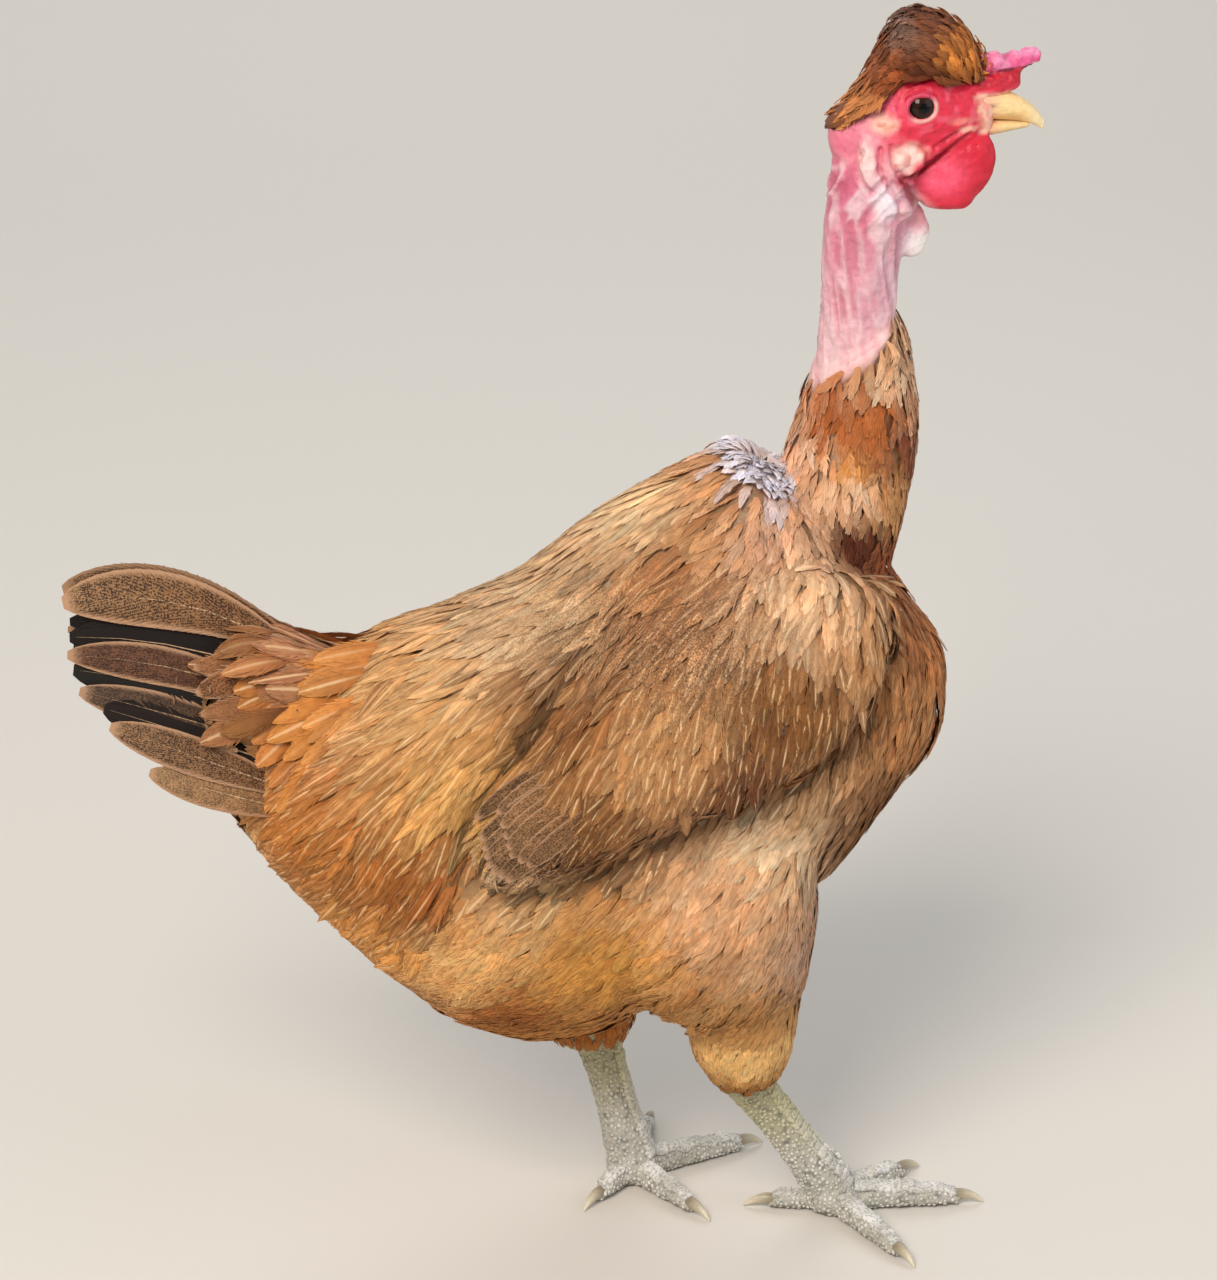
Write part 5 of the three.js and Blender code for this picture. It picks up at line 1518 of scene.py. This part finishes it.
# %% Large tail coverts
# Each row from the tail forward: count, tips at the ridge, half way and at the bottom, length,
# half width, how the first and the last head up (below 0, down), tint and how peppered the middle is.
COVER_ROWS = [
    (5, (-157, 12, 247), (-159, 20, 234), (-153, 27, 216), 36, 5.4, 0.2, -0.4, "#a06c44", 0.9),
    (9, (-141, 10, 251), (-143, 24, 228), (-134, 30, 200), 31, 5.0, 0.3, -1.1, "#c07a3c", 0.0),
    (10, (-128, 12, 247), (-131, 28, 222), (-124, 34, 184), 33, 4.5, 0.3, -1.2, "#c8843f", 0.0),
    (10, (-116, 14, 244), (-120, 32, 214), (-112, 38, 172), 35, 4.3, 0.2, -1.2, "#cc8a48", 0.0),
    (9, (-103, 18, 242), (-108, 37, 208), (-99, 42, 162), 35, 4.1, 0.0, -1.2, "#cf9250", 0.0),
    (9, (-139, 8, 190), (-124, 16, 164), (-102, 26, 136), 30, 5.0, -0.3, -0.8, "#d09a5c", 0.0),
]
laid = []
own = np.random.default_rng(84)
for side in (RIGHT, LEFT):
    for count, top, half_way, bottom, reach, half, first_fall, last_fall, hue, peppered in COVER_ROWS:
        for share in np.linspace(0, 1, count):
            tip = np.array([np.interp(share, [0, 0.5, 1], values) for values in zip(top, half_way, bottom)])
            tip += own.normal(0, 1.8, 3) * [1, 0.4, 1]
            fall = first_fall + (last_fall - first_fall) * share + own.normal(0, 0.1)
            heading = np.array([-1.0, 0.2, fall])
            root = (tip - heading / np.linalg.norm(heading) * reach) * [1, side, 1]
            tip = tip * [1, side, 1]
            found, n, _, _ = skin_tree.find_nearest(tuple(tip))
            if share < 0.3 and tip[0] > -135:
                tip = np.array(found) + np.array(n) * 2.6
            found, n, _, _ = skin_tree.find_nearest(tuple(root))
            root = np.array(found) - np.array(n) * 0.5
            turn = math.radians(float(np.interp(share, [0, 0.35, 1], [62, 24, 10])) + own.normal(0, 8))
            out = np.array([0.1, side * math.cos(turn), math.sin(turn)])
            laid.append((root, (root + tip) / 2 + out * 1.2, tip, out, 2 * half * own.uniform(0.8, 1.2),
                         rgb(hue) * own.uniform(0.82, 1.18),
                         peppered * max(0.0, 1 - abs(share - 0.45) * 2.2)))
start, middle, end, n_vane, width, tint, fleck = map(np.array, zip(*laid))
large_coverts = lay("large_tail_coverts", "covert", start, middle, end, n_vane, n_vane, n_vane, width, tint,
                    85, root_dark=0.8, drop=30.0, pepper=fleck, stroke=0.6 * (fleck < 0.3))
enter_piece(large_coverts, feather_stuff, "rust")

# %% [markdown]
# ## Folded wing quills
# At the wing's end the flight feathers lie stacked like closed cards, and two rows of them show.
# Each is placed on the outer face of the wing by a sideways ray, so that the stack follows the
# wing's own curve.

# %% Wing quills
WING_AXIS = np.array([-69, 0, -52]) / 86.4
WING_ACROSS = np.array([-0.6, 0, 0.8])


def on_wing_side(place, side, lift):
    """The outermost skin at a place seen from the side, with a lift, and its normal."""
    found, n, _, _ = skin_tree.ray_cast((place[0], side * 140.0, place[2]), (0, -side, 0))
    if found is None or abs(found[1]) < 50:
        return np.array([place[0], side * (70.0 + lift), place[2]]), np.array([0, side, 0.15])
    n = np.array(n) * 0.5 + np.array([0, side, 0.15]) * 0.5
    return np.array(found) + n / np.linalg.norm(n) * lift, n / np.linalg.norm(n)


laid = []
own = np.random.default_rng(91)
for side in (RIGHT, LEFT):
    for row, (count, reach, length) in enumerate(((8, 0.0, 56), (7, 10.0, 40))):
        for i in range(count):
            share = i / (count - 1)
            tip = np.array([-50.0, 0, 177.5]) + WING_ACROSS * (share * 19 - 2)
            tip = tip - WING_AXIS * (reach + 9 * abs(share - 0.35))
            base = tip - WING_AXIS * length + WING_ACROSS * (3 - 4 * share)
            line = []
            for t, lift in ((0.0, 0.8), (0.5, 2.2 + 0.5 * row), (1.0, 3.2 + 0.6 * row + 0.9 * share)):
                line.append(on_wing_side(base + (tip - base) * t, side, lift))
            line[2] = (line[1][0] + (tip - base) * 0.5 + line[1][1] * 0.3, line[1][1])
            line[2][0][1] = side * max(abs(line[2][0][1]), abs(line[1][0][1]) - 1.0)
            places, place_normals = zip(*line)
            laid.append((*places, *place_normals, own.uniform(7, 9),
                         rgb("#96704a") * own.uniform(0.8, 1.15) * (1 + 0.2 * row), 0.8 - 0.12 * row))
*lines, fleck = map(np.array, zip(*laid))
wing_quills = lay("wing_quills", "quill", *lines, 91, shaft_tint="#c79b6a", tip_light=0.72,
                  pepper=fleck, drop=22.0)
enter_piece(wing_quills, feather_stuff, "peppered")

# %% [markdown]
# ## Beak, eyes and claws
# The beak and claws are plain horn over bone. They are swept from the same sections as the solids,
# only finer, and their points carry a wash of colour: pinkish where horn grows out of skin, pale
# yellow along the ridge and almost white at the tip.

# %% Smooth horn
smooth_horn, tree = new_material("smooth_horn")
here = put(tree, "ShaderNodeTexCoord").outputs["Object"]
stored = put(tree, "ShaderNodeAttribute", attribute_name="colour")
stretched = put(tree, "ShaderNodeMapping", {"Vector": here, "Scale": (0.25, 1.0, 1.0)})
fibre = put(tree, "ShaderNodeTexNoise", {"Vector": stretched, "Scale": 1400.0, "Detail": 3.0})
streaks = put(tree, "ShaderNodeMapRange", {
    "Value": fibre, "From Min": 0.3, "From Max": 0.7, "To Min": 0.86, "To Max": 1.08})
tone = put(tree, "ShaderNodeMix", {
    "Factor": 1.0, "A": stored, "B": streaks}, data_type="RGBA", blend_type="MULTIPLY")
worn = put(tree, "ShaderNodeMapRange", {"Value": fibre, "To Min": 0.28, "To Max": 0.5})
relief = put(tree, "ShaderNodeBump", {"Height": fibre, "Strength": 0.2, "Distance": 0.0003})
horn = put(tree, "ShaderNodeBsdfPrincipled", {
    "Base Color": tone, "Roughness": worn, "IOR": 1.54,
    "Subsurface Weight": 0.08, "Subsurface Scale": 0.001, "Normal": relief})
end_material(tree, horn)

# %% [markdown]
# The beak is two halves, the upper over the lower. The cutting edge of the upper one stands out a
# little, and its nostril is a shallow slit on each side, darkened with painted shade.

# %% Beak
BEAK_UPPER = [[130, 455.5, 441.8, 7.0], [140, 453.6, 441.2, 6.2], [148, 451, 440.6, 4.9],
              [154, 447.6, 439.6, 3.5], [158, 444, 437.8, 2.1], [160, 441.2, 436.8, 1.0]]
BEAK_LOWER = [[130, 441.4, 434.4, 5.8], [140, 441.2, 435.2, 5.0], [148, 440.8, 436.6, 3.7],
              [154, 440.0, 437.6, 2.2]]


def coloured_piece(name, points, triangles, colour, material, slot, *replaced):
    """A piece that faces outward, with a colour for each point."""
    piece = mesh_piece(name, points, triangles)
    shape = bmesh.new()
    shape.from_mesh(piece.data)
    bmesh.ops.recalc_face_normals(shape, faces=shape.faces)
    shape.to_mesh(piece.data)
    shape.free()
    paint(piece.data, "colour", colour)
    enter_piece(piece, material, slot, *replaced)


def mix(low, high, share):
    """A colour for each point between two hex colours."""
    share = np.clip(share, 0, 1)[:, None]
    return rgb(low) * (1 - share) + rgb(high) * share


upper = sweep(upright(BEAK_UPPER), around=48, steps=8, plane=(1, 0, 0), caps=(0.3, 0.8))
lower = sweep(upright(BEAK_LOWER), around=40, steps=8, plane=(1, 0, 0), caps=(0.3, 0.9))
p = upper[0]
nostril = np.exp(-((p[:, 0] - 139.5) / 2.2) ** 2 - ((p[:, 2] - 447.2 - 0.15 * (p[:, 0] - 139.5)) / 0.7) ** 2)
p[:, 1] *= 1 - 0.14 * nostril
edge = band(p[:, 2], np.interp(p[:, 0], [130, 148, 158], [442.6, 441.8, 439]), 0.8)
p[:, 1] *= 1 + 0.04 * edge
upper_colour = mix("#efbb96", "#f0d092", ramp(p[:, 0], 139, 145))
pale_tip = ramp(p[:, 0], 152, 160)[:, None] * 0.35
upper_colour = upper_colour * (1 - pale_tip) + rgb("#f8efd2") * pale_tip
low_band = (ramp(445.5 - p[:, 2], 0, 3) * (1 - ramp(p[:, 0], 148, 158)))[:, None]
upper_colour = upper_colour * (1 - low_band * 0.6) + rgb("#d69a4c") * low_band * 0.6
# Painted shade: the nostril slit is darkened on both sides.
upper_colour = upper_colour * (1 - 0.85 * nostril[:, None] * (np.abs(p[:, 1:2]) > 2))
lower_colour = mix("#e9a780", "#e6c78c", ramp(lower[0][:, 0], 138, 146))
points, triangles, _ = gather([upper, lower])
coloured_piece("beak", points, triangles, np.vstack([upper_colour, lower_colour]), smooth_horn, "horn",
               "beak_upper", "beak_lower")

# %% [markdown]
# Each claw grows out of its toe and curves down until its tip meets the floor.

# %% Claws
claw_parts, claw_colours, claw_nodes = [], [], []
for side_name in SIDES:
    for digit, heading, length, radius in TOES[side_name]:
        top = radius * 0.72
        rows = [[length - 3.0, top + 0.3, 2.3, 2.4], [length + 1, top + 0.8, 2.2, 2.5],
                [length + 4, top + 0.7, 1.8, 2.1], [length + 7, top - 0.1, 1.3, 1.5],
                [length + 9.6, 1.5, 0.75, 0.8], [length + 10.8, 0.7, 0.4, 0.4]]
        claw = sweep(toe_rows(side_name, heading, rows), around=20, steps=4,
                     across=toe_across(heading), caps=(0.5, 1.0))
        claw[0][:, 2] = np.maximum(claw[0][:, 2], 0.05)
        foot = np.array(FEET[side_name])
        reach = np.hypot(claw[0][:, 0] - foot[0], claw[0][:, 1] - foot[1]) - length
        claw_parts.append(claw)
        claw_colours.append(mix("#8d8068", "#d8cdb2", reach / 9))
        claw_nodes.append(f"claw_{side_name}_{digit}")
points, triangles, _ = gather(claw_parts)
coloured_piece("claws", points, triangles, np.vstack(claw_colours), smooth_horn, "claw", *claw_nodes)

# %% [markdown]
# The eye is a dark ball set deep behind its lids. A narrow brown iris rings a wide pupil. Its
# clear front is very smooth and wet, so it takes one sharp highlight from the lamp.

# %% Wet eye
wet_eye, tree = new_material("wet_eye")
here = put(tree, "ShaderNodeTexCoord").outputs["Object"]
stored = put(tree, "ShaderNodeAttribute", attribute_name="colour")
fibres = put(tree, "ShaderNodeTexNoise", {"Vector": here, "Scale": 1800.0})
lively = put(tree, "ShaderNodeMapRange", {"Value": fibres, "To Min": 0.7, "To Max": 1.3})
tone = put(tree, "ShaderNodeMix", {
    "Factor": 1.0, "A": stored, "B": lively}, data_type="RGBA", blend_type="MULTIPLY")
cornea = put(tree, "ShaderNodeBsdfPrincipled", {
    "Base Color": tone, "Roughness": 0.06, "IOR": 1.36, "Specular IOR Level": 0.4})
end_material(tree, cornea)

# %% [markdown]
# Each eyeball is coloured by the angle from its own axis: pupil, iris and, where the lids overhang
# it, a darker rim that is painted shade.

# %% Eyes
EYE_RADIUS = 6.3
for side_name, side in SIDES.items():
    ball = bmesh.new()
    bmesh.ops.create_uvsphere(ball, u_segments=48, v_segments=32, radius=EYE_RADIUS)
    points = np.array([v.co[:] for v in ball.verts])
    bmesh.ops.triangulate(ball, faces=ball.faces)
    triangles = np.array([[v.index for v in f.verts] for f in ball.faces])
    ball.free()
    turned = np.stack([points[:, 0], side * points[:, 2], points[:, 1] * side], 1)
    axis = np.array([0.1, side, 0.02])
    axis /= np.linalg.norm(axis)
    off_axis = np.degrees(np.arccos(np.clip(turned @ axis / EYE_RADIUS, -1, 1)))
    colour = mix("#040202", "#2c130a", ramp(off_axis, 17, 20))
    # Painted shade: the ball is darker beyond the iris, where the lids overhang it.
    rim = ramp(off_axis, 34, 40)[:, None]
    colour = colour * (1 - rim) + rgb("#120806") * rim
    shape = turned + np.array([EYE[0], side * EYE[1], EYE[2]])
    coloured_piece(f"eyeball_{side_name}", shape, triangles if side > 0 else triangles[:, ::-1], colour,
                   wet_eye, "eye", f"eye_{side_name}")

# %% [markdown]
# ## Scales
# Chicken legs are covered with scales: small round pebbles all over and a row of broad plates
# along the front of the shank and the top of each toe. Pebbles are strewn over the skin by a
# geometry-node tree, which keeps them a set distance apart. Plates are put by a second tree on
# lines of points, each of which carries the way its plate faces, the way it runs and its size.

# %% Helpers for node trees


def new_tree(name, inputs):
    """A geometry tree with named inputs, and its input and output nodes."""
    tree = bpy.data.node_groups.new(name, "GeometryNodeTree")
    tree.interface.new_socket("Geometry", in_out="INPUT", socket_type="NodeSocketGeometry")
    for label, kind, value in inputs:
        tree.interface.new_socket(label, in_out="INPUT", socket_type=kind).default_value = value
    tree.interface.new_socket("Geometry", in_out="OUTPUT", socket_type="NodeSocketGeometry")
    return tree, tree.nodes.new("NodeGroupInput"), tree.nodes.new("NodeGroupOutput")


def end_tree(tree, instances, enter, leave):
    """Makes the instances real, gives them the material and hands them on."""
    real = put(tree, "GeometryNodeRealizeInstances", {"Geometry": instances})
    dressed = put(tree, "GeometryNodeSetMaterial", {"Geometry": real, "Material": enter.outputs["Material"]})
    tree.links.new(dressed.outputs["Geometry"], leave.inputs["Geometry"])


def settle(piece_name, base, tree, settings):
    """Runs a tree on a mesh and returns the settled result as a plain piece."""
    modifier = base.modifiers.new("scales", "NODES")
    modifier.node_group = tree
    sockets = {s.name: s.identifier for s in tree.interface.items_tree if s.in_out == "INPUT"}
    for label, value in settings.items():
        modifier[sockets[label]] = value
    evaluated = base.evaluated_get(bpy.context.evaluated_depsgraph_get())
    mesh = bpy.data.meshes.new_from_object(evaluated)
    piece = add_object(piece_name, mesh)
    bpy.data.objects.remove(base, do_unlink=True)
    return piece


# %% [markdown]
# Scales are chalky horn: matt, grey-white, yellower up the shank, with specks of soil.

# %% Chalky scale material
chalky_scale, tree = new_material("chalky_scale")
here = put(tree, "ShaderNodeTexCoord").outputs["Object"]
broad = put(tree, "ShaderNodeTexNoise", {"Vector": here, "Scale": 90.0, "Detail": 3.0})
tone = put(tree, "ShaderNodeMapRange", {"Value": broad, "From Min": 0.3, "From Max": 0.7})
chalk = put(tree, "ShaderNodeMix", {
    "Factor": tone, "A": linear("#b5b2a6"), "B": linear("#e6e3dc")}, data_type="RGBA")
place = put(tree, "ShaderNodeSeparateXYZ", {"Vector": here})
high = put(tree, "ShaderNodeMapRange", {"Value": place.outputs["Z"], "From Min": 0.022, "From Max": 0.055})
warm = put(tree, "ShaderNodeMix", {"Factor": high, "A": chalk, "B": linear("#bdb48c")}, data_type="RGBA")
fine = put(tree, "ShaderNodeTexNoise", {"Vector": here, "Scale": 900.0, "Detail": 2.0})
soil = put(tree, "ShaderNodeMapRange", {"Value": fine, "From Min": 0.5, "From Max": 0.62})
soiled = put(tree, "ShaderNodeMath", {0: soil, 1: 0.5}, operation="MULTIPLY")
final = put(tree, "ShaderNodeMix", {
    "Factor": soiled, "A": warm, "B": linear("#56574e")}, data_type="RGBA")
worn = put(tree, "ShaderNodeBump", {"Height": fine, "Strength": 0.3, "Distance": 0.0003})
scale_horn = put(tree, "ShaderNodeBsdfPrincipled", {
    "Base Color": final, "Roughness": 0.62, "IOR": 1.5, "Normal": worn})
end_material(tree, scale_horn)

# %% [markdown]
# The first tree strews points over the skin no closer than its spacing, and sets a squashed
# pebble on each, turned to lie flat and of a slightly random size.

# %% The tree that strews pebbles
tree, enter, leave = new_tree("strew_pebbles", [
    ("Spacing", "NodeSocketFloat", 0.0016), ("Size", "NodeSocketFloat", 0.001),
    ("Seed", "NodeSocketInt", 7), ("Material", "NodeSocketMaterial", None)])
strew = put(tree, "GeometryNodeDistributePointsOnFaces", {
    "Mesh": enter.outputs["Geometry"], "Distance Min": enter.outputs["Spacing"],
    "Density Max": 900000.0, "Seed": enter.outputs["Seed"]}, distribute_method="POISSON")
pebble = put(tree, "GeometryNodeMeshIcoSphere", {"Radius": 1.0, "Subdivisions": 1})
size = put(tree, "FunctionNodeRandomValue", {2: 0.75, 3: 1.2}, data_type="FLOAT")
flat = put(tree, "ShaderNodeCombineXYZ", {"X": 1.0, "Y": 1.15, "Z": 0.42})
grown = put(tree, "ShaderNodeVectorMath", {0: flat, "Scale": size.outputs[1]}, operation="SCALE")
sized = put(tree, "ShaderNodeVectorMath", {0: grown, "Scale": enter.outputs["Size"]}, operation="SCALE")
put_on = put(tree, "GeometryNodeInstanceOnPoints", {
    "Points": strew, "Instance": pebble, "Rotation": strew.outputs["Rotation"], "Scale": sized})
end_tree(tree, put_on, enter, leave)
pebble_tree = tree

# %% [markdown]
# The second tree lays one plate on each point. A plate is a cube rounded by subdivision, turned
# first to face outward and then to run along the toe or shank.

# %% The tree that lays plates
tree, enter, leave = new_tree("lay_plates", [
    ("Height", "NodeSocketFloat", 0.3), ("Roundness", "NodeSocketFloat", 0.35),
    ("Material", "NodeSocketMaterial", None)])
stored = {name: put(tree, "GeometryNodeInputNamedAttribute", {"Name": name}, data_type="FLOAT_VECTOR")
          for name in ("facing", "running", "extent")}
block = put(tree, "GeometryNodeMeshCube", {"Size": (2.3, 2.3, 2.3)})
rounded = put(tree, "GeometryNodeSubdivisionSurface", {
    "Mesh": block, "Level": 2, "Edge Crease": enter.outputs["Roundness"]})
outward_turn = put(tree, "FunctionNodeAlignRotationToVector", {"Vector": stored["facing"]}, axis="Z")
turned = put(tree, "FunctionNodeAlignRotationToVector", {
    "Rotation": outward_turn, "Vector": stored["running"]}, axis="X", pivot_axis="Z")
thin = put(tree, "ShaderNodeCombineXYZ", {"X": 1.0, "Y": 1.0, "Z": enter.outputs["Height"]})
flat_size = put(tree, "ShaderNodeVectorMath", {0: stored["extent"], 1: thin}, operation="MULTIPLY")
points = put(tree, "GeometryNodeMeshToPoints", {"Mesh": enter.outputs["Geometry"]})
put_on = put(tree, "GeometryNodeInstanceOnPoints", {
    "Points": points, "Instance": rounded, "Rotation": turned, "Scale": flat_size})
end_tree(tree, put_on, enter, leave)
plate_tree = tree

# %% [markdown]
# Each settled piece gets its own map, in which one patch belongs to one scale, and enters the
# model.

# %% Map and enter the scales


def leg_map(points, group):
    """A map for scales: around each leg, and up it or in along the toes, one patch to a scale."""
    middle = points.reshape(-1, group, 3).mean(1)
    side_name = np.where(middle[:, 1] < 0, 0, 1)
    hocks, feet = np.array(list(HOCKS.values()), float), np.array(list(FEET.values()), float)
    share = np.clip((middle[:, 2] - 9) / 59, 0, 1)[:, None]
    axis = feet[side_name] * (1 - share) + hocks[side_name] * share
    out = middle - axis
    u = 0.25 + 0.5 * side_name + 0.22 * np.arctan2(out[:, 1], out[:, 0]) / math.pi
    v = (middle[:, 2] - np.hypot(out[:, 0], out[:, 1]) + 66) / 140
    local = points.reshape(-1, group, 3) - middle[:, None]
    reach = np.abs(local).max(axis=(1, 2))[:, None, None]
    patch = local[:, :, [0, 2]] / reach * 0.0015
    return (np.clip(np.stack([u, v], 1), 0.01, 0.99)[:, None] + patch).reshape(-1, 2)


def finish_scales(piece, group):
    """Maps a settled piece, shades it smooth and enters it in the model."""
    points = to_drawing(points_of(piece.data))
    ids = np.empty(len(piece.data.loops), np.int32)
    piece.data.loops.foreach_get("vertex_index", ids)
    mapped = leg_map(points, group)
    while piece.data.uv_layers:
        piece.data.uv_layers.remove(piece.data.uv_layers[0])
    piece.data.uv_layers.new(name="OFBake").data.foreach_set("uv", mapped[ids].astype(np.float32).ravel())
    piece.data.polygons.foreach_set("use_smooth", np.ones(len(piece.data.polygons), bool))
    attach(piece, "root")
    print(piece.name, len(points) // group, "scales", len(piece.data.polygons), "faces")

# %% [markdown]
# The plates run along the top of each toe, one every 2.4 mm, and in two rows down the front of the
# shank. Every place is found by a ray onto the skin, and the plate sits on the skin there.

# %% Lay the plates
laid = []


def add_plate(origin, ray, run, half_long, half_wide):
    """One plate where a ray from outside meets the skin."""
    found, n, _, _ = skin_tree.ray_cast(tuple(origin), tuple(ray))
    if found is not None and found[2] > 3.5:
        laid.append((found[:], n[:], tuple(run), (half_long, half_wide, half_wide)))


own = np.random.default_rng(121)
for side_name in SIDES:
    foot, hock = np.array(FEET[side_name], float), np.array(HOCKS[side_name], float)
    for digit, heading, length, radius in TOES[side_name]:
        a = math.radians(heading)
        run = np.array([math.cos(a), math.sin(a), 0])
        for reach in np.arange(10, length - 1, 2.4):
            taper = float(np.interp(reach / length, [0, 0.6, 1], [0.78, 0.7, 0.46]))
            wide = radius * taper * own.uniform(0.92, 1.06)
            add_plate(foot * [1, 1, 0] + run * reach + [0, 0, 30], (0, 0, -1), run, 1.45, wide)
    down = (foot - hock) / np.linalg.norm(foot - hock)
    ahead = np.array([1.0, 0, 0]) - down[0] * down
    ahead /= np.linalg.norm(ahead)
    aside = np.cross(down, ahead)
    for row in (-1, 1):
        for share in np.arange(0.08, 0.98, 0.052):
            axis = hock + (foot - hock) * (share + 0.013 * row)
            out = ahead + aside * 0.42 * row
            out /= np.linalg.norm(out)
            add_plate(axis + out * 30, -out, down, 1.75, 2.5 * own.uniform(0.92, 1.06))
place, facing, running, extent = np.array(laid, float).transpose(1, 0, 2)
line_mesh = bpy.data.meshes.new("plate_points")
line_mesh.from_pydata([tuple(p) for p in to_scene(place - facing * 0.05)], [], [])
for label, values in (("facing", facing), ("running", running), ("extent", extent / 1000)):
    layer = line_mesh.attributes.new(label, "FLOAT_VECTOR", "POINT")
    layer.data.foreach_set("vector", np.ascontiguousarray(values, np.float32).ravel())
plate_points = add_object("plate_points", line_mesh)
plates = settle("leg_plates", plate_points, plate_tree,
                {"Height": 0.36, "Roundness": 0.4, "Material": chalky_scale})
finish_scales(plates, 98)

# %% [markdown]
# Pebbles fill the skin that the plates leave free.

# %% Strew the pebbles
centre = surface[corners].mean(1)
scaled = legs_mask[corners].min(1) > 0.5
scaled &= (centre[:, 2] < 66) & (centre[:, 2] > 0.8) & (bearing[corners].mean(1)[:, 2] > -0.85)
plate_finder = KDTree(len(place))
for i, p in enumerate(place):
    plate_finder.insert(tuple(p), i)
plate_finder.balance()
free = np.array([plate_finder.find(tuple(p))[2] for p in centre[scaled]]) > 2.1
scaled[scaled] = free
scaled_skin = mesh_piece("scaled_skin", surface, corners[scaled])
pebbles = settle("leg_pebbles", scaled_skin, pebble_tree,
                 {"Spacing": 0.0016, "Size": 0.00095, "Seed": 7, "Material": chalky_scale})
finish_scales(pebbles, 12)
